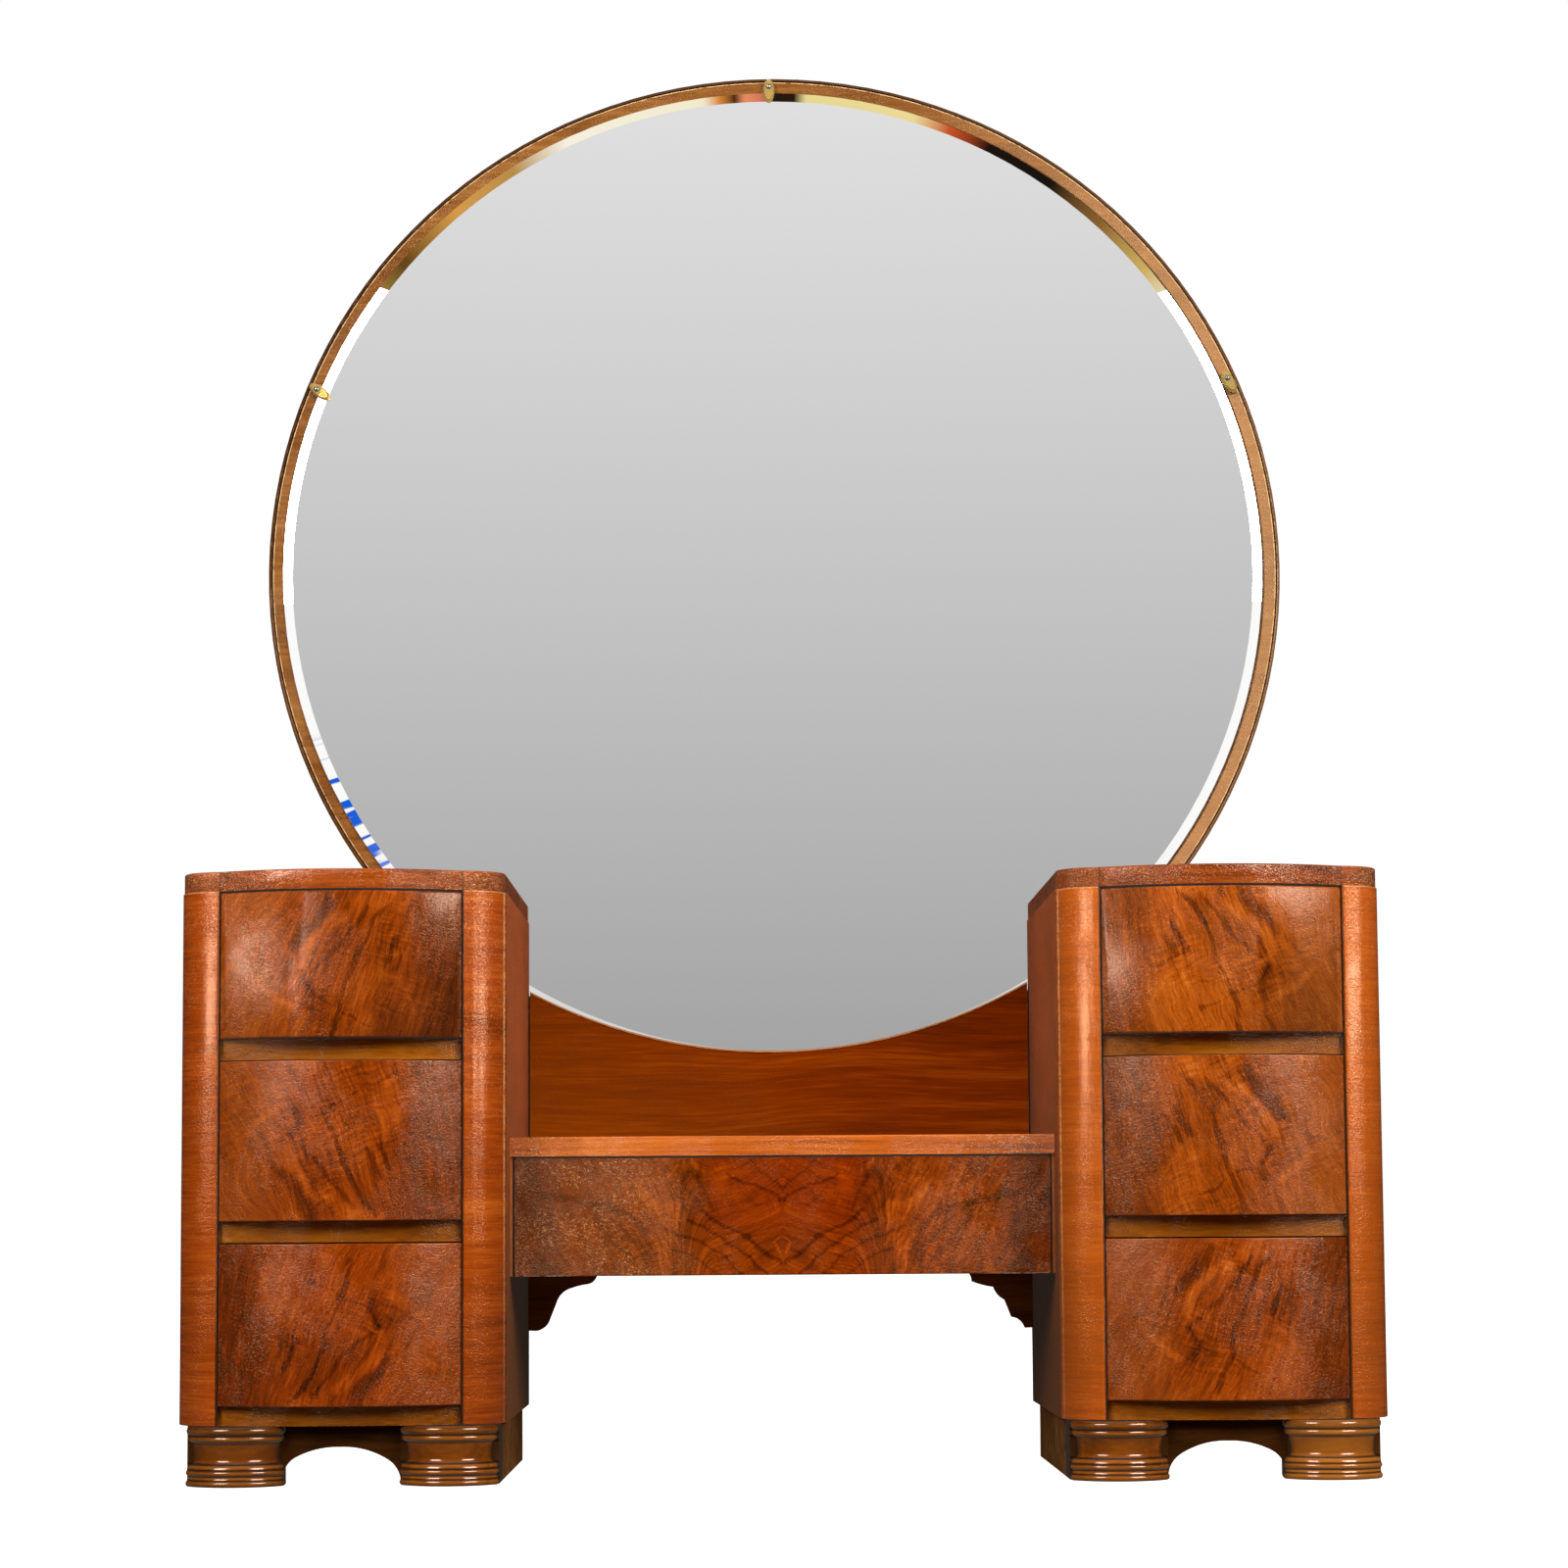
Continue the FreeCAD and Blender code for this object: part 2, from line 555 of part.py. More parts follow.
# ---------------------------------------------------------------- fastenings of the mirror
def wood_screw(name, x, tip, z):
    """A countersunk screw along Y whose head faces the back; tip is its y."""
    x, tip, z = size(x), size(tip) + SHIFT, size(z)
    length = S("screw_length")
    cone_length = S(3.0)
    turn = FreeCAD.Rotation(FreeCAD.Vector(1, 0, 0), -90)       # local z becomes +Y
    shank = doc.addObject("Part::Cylinder", name + "_shank")
    head = doc.addObject("Part::Cone", name + "_head")
    for thing, prop, value in ((shank, "Radius", S("screw_radius")), (shank, "Height", length - cone_length), (head, "Radius1", S("screw_radius")), (head, "Radius2", S("screw_head")), (head, "Height", cone_length)):
        setattr(thing, prop, value.value)
        thing.setExpression(prop, value.text)
    for thing, y in ((shank, tip), (head, tip + length - cone_length)):
        thing.Placement = FreeCAD.Placement(FreeCAD.Vector(x.value, y.value, z.value), turn)
        thing.setExpression("Placement.Base.x", x.text)
        thing.setExpression("Placement.Base.y", y.text)
        thing.setExpression("Placement.Base.z", z.text)
    screw = doc.addObject("Part::Fuse", name)
    screw.Base = shank
    screw.Tool = head
    screw.Refine = True
    return screw


screws = []
bores = []
for edge, side in (("left", -1), ("right", 1)):
    place = S("upright_place") * side
    for number, height in enumerate((520, 900, 1340)):
        screws.append(wood_screw("%s_board_screw_%d" % (edge, number), place, S("upright_back") - S("screw_length"), height))
    for number, height in enumerate((262, 385)):
        tip = S("splash_front") + 7
        screws.append(wood_screw("%s_case_screw_%d" % (edge, number), place, tip, height))
        bore = doc.addObject("Part::Cylinder", "%s_bore_%d" % (edge, number))
        start = tip + S("screw_length") + SHIFT
        bore.Radius = VALUE["counterbore"]
        bore.setExpression("Radius", "Sizes.counterbore")
        bore.Height = 60
        bore.Placement = FreeCAD.Placement(FreeCAD.Vector(place.value, start.value, height), FreeCAD.Rotation(FreeCAD.Vector(1, 0, 0), -90))
        bore.setExpression("Placement.Base.x", place.text)
        bore.setExpression("Placement.Base.y", start.text)
        bores.append(bore)
upright_screws = group("upright_screws", screws)
bore_group = doc.addObject("Part::Compound", "counterbores")
bore_group.Links = bores

# ---------------------------------------------------------------- back panel of the centre
# One panel closes the drawer's space at the back and stands up as the splash panel, with a
# round cut-out that follows the mirror.
half = S("splash_half")
cut_r, cut_x, cut_z = S("cut_radius"), S("cut_place"), S("cut_height")
left_z = cut_z - root(cut_r * cut_r - (cut_x + half) * (cut_x + half))
right_z = cut_z - root(cut_r * cut_r - (half - cut_x) * (half - cut_x))
panel = new_body("centre_back_body", y="case_depth")
pad(panel, outline(panel, "centre_back_face", "XZ_Plane", [(-half, CLOW), (half, CLOW), (half, right_z), (-half, left_z)], {2: (cut_r, 1)}), DEPTH - S("splash_front"))
keep("centre_back_panel", cut("centre_back_drilled", panel, upright_screws))

# Two thin cleats behind it bridge the gaps between the panel and the pedestals, and end below the mirror.
cleats = []
for edge, side in (("left", -1), ("right", 1)):
    lo, hi = sided(side, GAP - 18, GAP + PANEL)
    cleats.append(box("%s_cleat" % edge, (lo, DEPTH, CLOW + 2), (hi, DEPTH + 5.8, 499)))
group("panel_cleats", cleats)

# ---------------------------------------------------------------- scroll brackets
brackets = []
for edge, side in (("left", -1), ("right", 1)):
    pts = [(GAP, CLOW), (204, CLOW), (213, 192), (237, 185.8), (249.3, 171.5), (256.8, 152.5), (271.5, 140.6), (GAP, 141)]
    arcs = {1: (S(12.5), 1), 2: (S(90), -1), 3: (S(23), -1), 5: (S(17), 1)}
    if side > 0:
        pts = [(size(a), size(c)) for a, c in pts]
        p = list(reversed(pts))
        b = {(len(pts) - 2 - i) % len(pts): (r, -s) for i, (r, s) in arcs.items()}
    else:
        p = [(-size(a), size(c)) for a, c in pts]
        b = arcs
    body = new_body(edge + "_bracket_body", y="case_depth")
    pad(body, outline(body, edge + "_bracket_face", "XZ_Plane", p, b), DEPTH - S("splash_front"))
    brackets.append(body)
group("scroll_brackets", brackets)

# ---------------------------------------------------------------- mirror
MZ = S("mirror_height")


def clip_screw(number, x, z, angle):
    """A small round-headed slotted screw that holds a clip; its head faces the front."""
    body = new_body("clip_screw_%d" % number, x=x, z=z)
    head = S("clip_screw_head")
    rad = S("clip_screw_radius")
    seat = S(427.9)
    pts = [(seat - 1.9, 0), (seat - 0.7, head - 0.3), (seat, head), (seat, rad), (seat + 18.0, rad), (seat + 20.0, 0)]
    sketch = outline(body, "clip_screw_%d_profile" % number, "XY_Plane", [(b, a) for a, b in pts], {0: (S(4.2), -1)})
    turn = body.newObject("PartDesign::Revolution", "clip_screw_%d_turn" % number)
    turn.Profile = sketch
    turn.ReferenceAxis = (sketch, ["V_Axis"])
    turn.Angle = 360.0
    doc.recompute()
    before = body.Shape.Volume
    c, s_ = math.cos(math.radians(angle)), math.sin(math.radians(angle))
    corners = [(-4, -0.35), (4, -0.35), (4, 0.35), (-4, 0.35)]
    slot = outline(body, "clip_screw_%d_slot" % number, "XZ_Plane", [(S(a * c - b * s_), S(a * s_ + b * c)) for a, b in corners])
    slot.AttachmentOffset = FreeCAD.Placement(FreeCAD.Vector(0, 0, -(seat.value - 0.9)), FreeCAD.Rotation())
    pocket = body.newObject("PartDesign::Pocket", "clip_screw_%d_cut" % number)
    pocket.Profile = slot
    pocket.Length = 3.0
    pocket.Reversed = True
    doc.recompute()
    if not body.Shape.Volume < before - 0.5:
        raise ValueError("no slot in clip screw %d" % number)
    return body


# where each clip's screw is, and which way its lip points (degrees from +X towards +Z)
CLIPS = [(-4.8, 562.6, -90.0), (-521.6, 211.6, -37.0), (516.6, 220.0, -61.0)]
clip_screws = [clip_screw(n, x, MZ + dz, lip + 55) for n, (x, dz, lip) in enumerate(CLIPS)]
clip_screw_group = group("mirror_clip_screws", clip_screws)

glass = new_body("mirror_glass_body", x="glass_place", z=MZ + S("glass_rise"))
gf, gb, gr, bv = S("glass_front"), S("glass_back"), S("glass_radius"), S("bevel")
profile = outline(glass, "mirror_glass_profile", "YZ_Plane", [(gf, 0), (gb, 0), (gb, gr), (gb - 2.4, gr), (gf, gr - bv)])
turn = glass.newObject("PartDesign::Revolution", "mirror_glass_turn")
turn.Profile = profile
turn.ReferenceAxis = (profile, ["H_Axis"])
turn.Angle = 360.0
keep("mirror_glass", glass)

board = new_body("mirror_board_body", x="board_place", z=MZ)
bf, bb, br = S("board_front"), S("board_back"), S("board_radius")
profile = outline(board, "mirror_board_profile", "YZ_Plane",
                  [(bf, 0), (bb, 0), (bb, br - 1.5), (bb - 1.5, br), (bf + 4.2, br), (bf + 0.5, br - 3.5), (bf + 2.2, br - 4.3), (bf, br - 5.5)], {4: (S(4.0), -1)})
turn = board.newObject("PartDesign::Revolution", "mirror_board_turn")
turn.Profile = profile
turn.ReferenceAxis = (profile, ["H_Axis"])
turn.Angle = 360.0
tools = doc.addObject("Part::Compound", "board_fastenings")
tools.Links = [upright_screws, clip_screw_group]
keep("mirror_backboard", cut("mirror_board_drilled", board, tools))

# Each clip is a small faceted oval of moulded plastic: it stands on the board's rim and its
# lip reaches over the edge of the glass.
recess = doc.addObject("Part::Cylinder", "glass_recess")
recess.Radius = VALUE["glass_radius"] + 0.5
recess.setExpression("Radius", "Sizes.glass_radius + 0.5")
recess.Height = 8.0
start = gf - 0.3 + SHIFT
glass_z = MZ + S("glass_rise")
recess.Placement = FreeCAD.Placement(FreeCAD.Vector(VALUE["glass_place"], start.value, glass_z.value), FreeCAD.Rotation(FreeCAD.Vector(1, 0, 0), -90))
recess.setExpression("Placement.Base.x", "Sizes.glass_place")
recess.setExpression("Placement.Base.y", start.text)
recess.setExpression("Placement.Base.z", glass_z.text)
clips = []
for number, (x, dz, lip) in enumerate(CLIPS):
    a = math.radians(lip)
    along = FreeCAD.Vector(math.cos(a), 0, math.sin(a))
    across = FreeCAD.Vector(-math.sin(a), 0, math.cos(a))
    middle = FreeCAD.Vector(x, 0, VALUE["mirror_height"] + dz) + along * 4.6
    wires = []
    for y, grow in ((436.3, 1.0), (430.6, 1.0), (427.9, 0.72)):
        ring = []
        for k in range(12):
            t = 2 * math.pi * (k + 0.5) / 12
            ring.append(middle + along * (14.4 * grow * math.cos(t)) + across * (6.7 * grow * math.sin(t)) + FreeCAD.Vector(0, y + VALUE["front_shift"], 0))
        wires.append(Part.makePolygon(ring + [ring[0]]))
    blank = doc.addObject("Part::Feature", "clip_blank_%d" % number)
    blank.Shape = Part.makeLoft(wires, True, True)
    trimmed = cut("clip_trimmed_%d" % number, blank, recess)
    clips.append(cut("clip_%d" % number, trimmed, clip_screws[number]))
group("mirror_clips", clips)

# Two battens carry the backboard. Below it each is thicker, so that it meets the case.
battens = []
for edge, side in (("left", -1), ("right", 1)):
    lo, hi = sided(side, S("upright_place") - S("upright_width") / 2, S("upright_place") + S("upright_width") / 2)
    body = new_body(edge + "_upright_body", x=lo)
    pts = [(DEPTH, "upright_foot"), ("upright_back", "upright_foot"), ("upright_back", "upright_top"), (bb, "upright_top"), (bb, "upright_notch"), (DEPTH, "upright_notch")]
    pad(body, outline(body, edge + "_upright_section", "YZ_Plane", pts), hi - lo)
    battens.append(body)
batten_group = doc.addObject("Part::Compound", "battens")
batten_group.Links = battens
bored = cut("battens_bored", batten_group, bore_group)
keep("mirror_uprights", cut("battens_drilled", bored, upright_screws))

# ---------------------------------------------------------------- check and write
doc.recompute()
bad = [o.Name for o in doc.Objects if "Invalid" in o.State or "Error" in o.State]
if bad:
    raise SystemExit("failed objects: " + ", ".join(bad))
labels = [label for label, thing in NODES]
if len(set(labels)) != len(labels) or len(labels) > 60:
    raise SystemExit("labels: %d, %d different" % (len(labels), len(set(labels))))
whole = FreeCAD.BoundBox()
for label, thing in NODES:
    shape = thing.Shape
    if shape.isNull() or not shape.isValid() or not shape.Solids:
        raise SystemExit("bad shape: " + label)
    whole.add(shape.BoundBox)
for label, thing in NODES:
    thing.Shape.exportStep("parts/%s.step" % label)
print("%d nodes, %d solids" % (len(NODES), sum(len(t.Shape.Solids) for _, t in NODES)))
print("box x %.2f %.2f  y %.2f %.2f  z %.2f %.2f" % (whole.XMin, whole.XMax, whole.YMin, whole.YMax, whole.ZMin, whole.ZMax))
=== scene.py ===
import json
import math

import bmesh
import bpy
from mathutils import Matrix, Vector

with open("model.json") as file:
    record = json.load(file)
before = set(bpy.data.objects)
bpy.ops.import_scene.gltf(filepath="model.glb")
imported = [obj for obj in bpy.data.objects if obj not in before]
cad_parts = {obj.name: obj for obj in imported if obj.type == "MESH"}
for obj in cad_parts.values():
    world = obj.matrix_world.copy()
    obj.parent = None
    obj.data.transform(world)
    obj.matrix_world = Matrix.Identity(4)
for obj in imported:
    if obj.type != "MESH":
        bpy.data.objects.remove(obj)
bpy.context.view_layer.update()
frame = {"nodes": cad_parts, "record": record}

NODES = frame["nodes"]
scene = bpy.context.scene


# ---------------------------------------------------------------- camera
# The same view as the photograph: low, a little left of the middle, looking slightly up.

def look(yaw, pitch, roll):
    """Camera axes from yaw to the right of +Y, pitch up and roll, in degrees."""
    a, b, c = (math.radians(v) for v in (yaw, pitch, roll))
    level = Vector((math.cos(a), -math.sin(a), 0))
    ahead = Vector((math.sin(a) * math.cos(b), math.cos(a) * math.cos(b), math.sin(b)))
    upright = Vector((-math.sin(a) * math.sin(b), -math.cos(a) * math.sin(b), math.cos(b)))
    right = level * math.cos(c) - upright * math.sin(c)
    up = level * math.sin(c) + upright * math.cos(c)
    return Matrix((right, up, -ahead)).transposed()


camera_data = bpy.data.cameras.new("camera")
camera_data.sensor_width = 36.0
camera_data.lens = 87.19
camera_data.shift_y = 0.05466
camera_data.clip_start = 0.1
camera_data.clip_end = 100.0
camera = bpy.data.objects.new("camera", camera_data)
camera.matrix_world = Matrix.Translation((-0.03326, -4.05102, 0.25475)) @ look(0.541, 5.36, 0.372).to_4x4()
scene.collection.objects.link(camera)
scene.camera = camera

scene.view_settings.view_transform = "Standard"
scene.view_settings.look = "None"


# ---------------------------------------------------------------- node helpers

def linear(r, g, b):
    """An sRGB colour given as 0 to 255, as the linear colour that nodes use."""
    def one(v):
        v = v / 255
        return v / 12.92 if v <= 0.04045 else ((v + 0.055) / 1.055) ** 2.4
    return (one(r), one(g), one(b), 1.0)


class Val:
    """A number that varies over a surface. Arithmetic on it adds Math nodes."""

    def __init__(self, tree, socket):
        self.tree, self.socket = tree, socket

    def _math(self, op, *others, clamp=False):
        n = self.tree.nodes.new("ShaderNodeMath")
        n.operation = op
        n.use_clamp = clamp
        for i, v in enumerate((self,) + others):
            feed(self.tree, n.inputs[i], v)
        return Val(self.tree, n.outputs[0])

    def __add__(self, o): return self._math("ADD", o)
    def __radd__(self, o): return self._math("ADD", o)
    def __sub__(self, o): return self._math("SUBTRACT", o)
    def __rsub__(self, o): return constant(self.tree, o)._math("SUBTRACT", self)
    def __mul__(self, o): return self._math("MULTIPLY", o)
    def __rmul__(self, o): return self._math("MULTIPLY", o)
    def __truediv__(self, o): return self._math("DIVIDE", o)
    def __neg__(self): return self._math("MULTIPLY", -1.0)
    def __abs__(self): return self._math("ABSOLUTE")
    def __pow__(self, o): return self._math("POWER", o)
    def clamp(self): return self._math("ADD", 0.0, clamp=True)
    def sin(self): return self._math("SINE")
    def sqrt(self): return self._math("SQRT")
    def least(self, o): return self._math("MINIMUM", o)
    def most(self, o): return self._math("MAXIMUM", o)
    def atan2(self, o): return self._math("ARCTAN2", o)

    def smooth(self, low, high, a=0.0, b=1.0):
        """a below low, b above high, turning smoothly between them."""
        n = self.tree.nodes.new("ShaderNodeMapRange")
        n.interpolation_type = "SMOOTHSTEP"
        flip = low > high
        if flip:
            low, high, a, b = high, low, b, a
        for i, v in enumerate((self, low, high, a, b)):
            feed(self.tree, n.inputs[i], v)
        return Val(self.tree, n.outputs[0])

    def scaled(self, low, high, a=0.0, b=1.0):
        """The same with a straight line between low and high."""
        n = self.tree.nodes.new("ShaderNodeMapRange")
        n.clamp = True
        for i, v in enumerate((self, low, high, a, b)):
            feed(self.tree, n.inputs[i], v)
        return Val(self.tree, n.outputs[0])


def feed(tree, socket, value):
    if isinstance(value, Val):
        tree.links.new(value.socket, socket)
    elif isinstance(value, bpy.types.NodeSocket):
        tree.links.new(value, socket)
    else:
        socket.default_value = value


def constant(tree, number):
    n = tree.nodes.new("ShaderNodeValue")
    n.outputs[0].default_value = number
    return Val(tree, n.outputs[0])


class Finish:
    """One procedural material. Its coordinates are metres in the object's own frame, so they travel with the piece."""

    def __init__(self, name):
        self.material = bpy.data.materials.new(name)
        self.material.use_nodes = True
        self.tree = self.material.node_tree
        self.tree.nodes.clear()

    def place(self, origin=(0, 0, 0), flip=(1, 1, 1)):
        """x, y and z, measured from origin, each turned round where flip has -1."""
        t = self.tree.nodes.new("ShaderNodeTexCoord")
        s = self.tree.nodes.new("ShaderNodeSeparateXYZ")
        self.tree.links.new(t.outputs["Object"], s.inputs[0])
        return tuple((Val(self.tree, s.outputs[i]) - origin[i]) * float(flip[i]) for i in range(3))

    def vector(self, x, y, z):
        n = self.tree.nodes.new("ShaderNodeCombineXYZ")
        for i, v in enumerate((x, y, z)):
            feed(self.tree, n.inputs[i], v)
        return n.outputs[0]

    def noise(self, x, y, z, detail=2.0, rough=0.5, bend=0.0, lacunarity=2.0):
        """Soft noise about 0.5 whose features are about 1 across; scale x, y and z before the call."""
        n = self.tree.nodes.new("ShaderNodeTexNoise")
        n.noise_dimensions = "3D"
        self.tree.links.new(self.vector(x, y, z), n.inputs["Vector"])
        n.inputs["Scale"].default_value = 1.0
        n.inputs["Detail"].default_value = detail
        n.inputs["Roughness"].default_value = rough
        n.inputs["Lacunarity"].default_value = lacunarity
        n.inputs["Distortion"].default_value = bend
        return Val(self.tree, n.outputs[0])

    def cells(self, x, y, z, feature="F1", jitter=1.0):
        n = self.tree.nodes.new("ShaderNodeTexVoronoi")
        n.feature = feature
        self.tree.links.new(self.vector(x, y, z), n.inputs["Vector"])
        n.inputs["Scale"].default_value = 1.0
        n.inputs["Randomness"].default_value = jitter
        return Val(self.tree, n.outputs["Distance"])

    def ramp(self, value, stops, ease="LINEAR"):
        n = self.tree.nodes.new("ShaderNodeValToRGB")
        r = n.color_ramp
        r.interpolation = ease
        while len(r.elements) > 1:
            r.elements.remove(r.elements[-1])
        r.elements[0].position, r.elements[0].color = stops[0]
        for at, colour in stops[1:]:
            r.elements.new(at).color = colour
        feed(self.tree, n.inputs[0], value)
        return n.outputs[0]

    def mix(self, amount, a, b, how="MIX"):
        n = self.tree.nodes.new("ShaderNodeMix")
        n.data_type = "RGBA"
        n.blend_type = how
        feed(self.tree, n.inputs[0], amount)
        feed(self.tree, n.inputs[6], a)
        feed(self.tree, n.inputs[7], b)
        return n.outputs[2]

    def bump(self, height, distance, strength=1.0, under=None):
        n = self.tree.nodes.new("ShaderNodeBump")
        n.inputs["Strength"].default_value = strength
        n.inputs["Distance"].default_value = distance
        feed(self.tree, n.inputs["Height"], height)
        if under is not None:
            self.tree.links.new(under, n.inputs["Normal"])
        return n.outputs[0]

    def _vector(self, op, *inputs, out=0):
        n = self.tree.nodes.new("ShaderNodeVectorMath")
        n.operation = op
        for i, v in enumerate(inputs):
            if isinstance(v, Val):
                self.tree.links.new(v.socket, n.inputs["Scale"] if op == "SCALE" and i == 1 else n.inputs[i])
            else:
                feed(self.tree, n.inputs[i], v)
        return n.outputs[out]

    def reach(self, point, a, b):
        """Distance from a point of the figure to the straight line between a and b."""
        run = Vector((b[0] - a[0], b[1] - a[1], 0.0))
        away = self._vector("SUBTRACT", point, (a[0], a[1], 0.0))
        share = Val(self.tree, self._vector("DOT_PRODUCT", away, tuple(run / run.length_squared), out=1)).clamp()
        foot = self._vector("SCALE", tuple(run), share)
        return Val(self.tree, self._vector("DISTANCE", away, foot, out=1))

    def stroke(self, point, places, width, fade, ragged=0.0):
        """1 on the line through the places, and 0 beyond its width and fade; ragged frays its edge."""
        nearest = None
        for a, b in zip(places, places[1:]):
            d = self.reach(point, a, b)
            nearest = d if nearest is None else nearest.least(d)
        return (nearest + ragged).smooth(width, width + fade, 1.0, 0.0)

    def surface(self, colour, rough, normal=None, **sockets):
        p = self.tree.nodes.new("ShaderNodeBsdfPrincipled")
        feed(self.tree, p.inputs["Base Color"], colour)
        feed(self.tree, p.inputs["Roughness"], rough)
        if normal is not None:
            self.tree.links.new(normal, p.inputs["Normal"])
            self.tree.links.new(normal, p.inputs["Coat Normal"])
        for name, value in sockets.items():
            feed(self.tree, p.inputs[name.replace("_", " ")], value)
        out = self.tree.nodes.new("ShaderNodeOutputMaterial")
        self.tree.links.new(p.outputs[0], out.inputs["Surface"])
        self.shader = p
        return self.material


def wear(node, *materials):
    """Gives a CAD node its material."""
    o = NODES[node]
    o.data.materials.clear()
    for m in materials:
        o.data.materials.append(m)


# ---------------------------------------------------------------- woods

def lacquer(f, x, y, z, peel=1.0, size=520.0, flow=0.55, grain=None, grain_depth=0.00002, more=1.0):
    """The sprayed finish's skin: orange peel, drawn out sideways and heavier in places, over the grain's own relief."""
    a = f.noise(x * (size * flow), y * (size * flow), z * size, detail=2.0, rough=0.5, bend=1.6)
    b = f.noise(x * 40.0, y * 40.0, z * 55.0, detail=1.0)
    heavy = f.noise(x * 22.0, y * 22.0, z * 16.0 + 3.0, detail=2.0).smooth(0.36, 0.60, 0.35, 1.0)
    under = None
    if grain is not None:
        under = f.bump(grain, grain_depth)
    return f.bump(a * heavy * more + b * 0.6, 0.00062 * peel, 1.0, under)


def fibres(f, p, stretch, shift=0.0, detail=5.0, rough=0.62):
    """Noise drawn out along the grain: stretch has the scale on each axis."""
    return f.noise(p[0] * stretch[0] + shift, p[1] * stretch[1] + shift * 0.7, p[2] * stretch[2] - shift, detail=detail, rough=rough)


def straight(name, stretch, tones, wave=(0.0, 0.0, 0.0), spread=(0.36, 0.64), peel=1.0, gloss=0.42, coat=0.5, coat_rough=0.2,
             spec=0.1, shade=None, origin=(0, 0, 0), seed=0.0, sheen=(255, 170, 100), mixed=(0.34, 0.44, 0.22), runs=None):
    """Straight-grained veneer. stretch gives the grain's scale on x, y and z: low along it, high across it."""
    f = Finish(name)
    p = f.place(origin)
    q = list(p)
    for i in range(3):
        if wave[i]:
            drift = f.noise(p[0] * 2.6 + 1.7 * i + seed, p[1] * 2.6 + 3.1, p[2] * 2.6 + 4.1 + seed, detail=2.0) - 0.5
            q[i] = p[i] + drift * wave[i]
    broad = fibres(f, q, [v * 0.16 for v in stretch], seed + 1.0, 3.0)
    lines = fibres(f, q, stretch, seed + 3.0, 5.0, 0.66)
    hairs = fibres(f, q, [v * 5.0 for v in stretch], seed + 9.0, 2.0)
    figure = broad * mixed[0] + lines * mixed[1] + hairs * mixed[2]
    dark, middle, light = tones
    low, high = spread
    colour = f.ramp(figure, [(low, dark), ((low + high) / 2, middle), (high, light)])
    if shade is not None:
        colour = shade(f, p, colour)
    normal = lacquer(f, *p, peel=peel, grain=hairs + lines, more=1.0 if runs is None else runs(p))
    f.surface(colour, gloss, normal, Coat_Weight=coat, Coat_Roughness=coat_rough, Specular_IOR_Level=spec, Specular_Tint=linear(*sheen))
    return f.material


def painted_glints(f, p, colour, amount, pale):
    """Painted glints: tiny pale specks in the colour that stand in for the sparkle of lamps on the rough sprayed
    finish; they stay on the wood in every view.
    """
    n = f.noise(p[0] * 340.0, p[1] * 340.0, p[2] * 560.0, detail=2.0, bend=1.6)
    patch = f.noise(p[0] * 24.0, p[1] * 24.0, p[2] * 24.0 + 9.0, detail=2.0).smooth(0.40, 0.62, 0.2, 1.0)
    return f.mix(n.smooth(0.56, 0.66) * patch * amount, colour, linear(*pale))


# Painted shade on the inner sides, darker low and towards the back, with painted glints towards the top and front.
def side_shade_and_glints(f, p, colour):
    tone = painted_shade_low(0.50, 0.10, linear(140, 80, 38))(f, p, colour)
    return painted_glints(f, p, tone, p[2].smooth(0.22, 0.52) * p[1].smooth(0.05, -0.15, 0.3, 1.0) * 0.5, (238, 178, 136))


# Painted glints on the deck, thicker towards its ends.
def deck_glints(f, p, colour):
    return painted_glints(f, p, colour, abs(p[0]).smooth(0.12, 0.26, 0.08, 0.75), (252, 206, 162))


def seams_and_glints(f, p, colour):
    """The glued joints of a top board's corner pieces, seen as fine lines on its edge, with painted glints towards the
    corners.
    """
    x = abs(p[0])
    line = abs(x - 0.5676).least(abs(x - 0.3224)).smooth(0.0003, 0.0009, 0.75, 0.0)
    corner = x.smooth(0.5674, 0.5678) + x.smooth(0.3226, 0.3222)
    tone = f.mix(corner * 0.35, colour, linear(196, 96, 34))
    tone = painted_glints(f, p, tone, abs(x - 0.445).smooth(0.05, 0.13, 0.25, 0.95) * p[1].smooth(-0.05, -0.15), (255, 202, 142))
    return f.mix(line, tone, linear(60, 22, 4))


def post_highlights_and_shade(f, p, colour):
    """Posts: a painted highlight along the top edge and a painted reflection down the line where the round meets the
    side; the right-hand posts painted lighter, painted glints, and painted shade in the gaps beside the drawers.
    """
    spots = f.noise(p[0] * 240.0, p[1] * 240.0, p[2] * 330.0, detail=1.0)
    # A painted highlight along the top edge.
    painted_edge_highlight = (p[2] + spots * 0.0006).smooth(0.5937, 0.5944) * spots.smooth(0.30, 0.55, 0.25, 0.75)
    x = abs(p[0])
    # A painted reflection down the line where the round meets the side.
    line = abs(x - 0.2822 + (spots - 0.5) * 0.0008).smooth(0.0003, 0.0011, 1.0, 0.0) * p[1].smooth(-0.186, -0.188)
    low = p[2].smooth(0.08, 0.34, 0.35, 1.0)
    broken = spots.smooth(0.36, 0.56, 0.35, 1.0)
    # Painted light: the right-hand posts lighter, as more light falls on them.
    tone = f.mix(p[0].smooth(-0.1, 0.1) * 0.28, colour, linear(218, 112, 32))
    tone = painted_glints(f, p, tone, p[2].smooth(0.25, 0.55, 0.08, 0.30), (250, 180, 122))
    tone = f.mix(painted_edge_highlight, tone, linear(220, 150, 92))
    tone = f.mix(line * broken * low * 0.8, tone, linear(240, 172, 104))
    # Painted shade in the gaps beside the drawers.
    painted_gap_shade = (x.smooth(0.5660, 0.5668) * x.smooth(0.5696, 0.5688) + x.smooth(0.3204, 0.3212) * x.smooth(0.3240, 0.3232)) * 0.8
    return f.mix(painted_gap_shade, tone, linear(40, 14, 2))


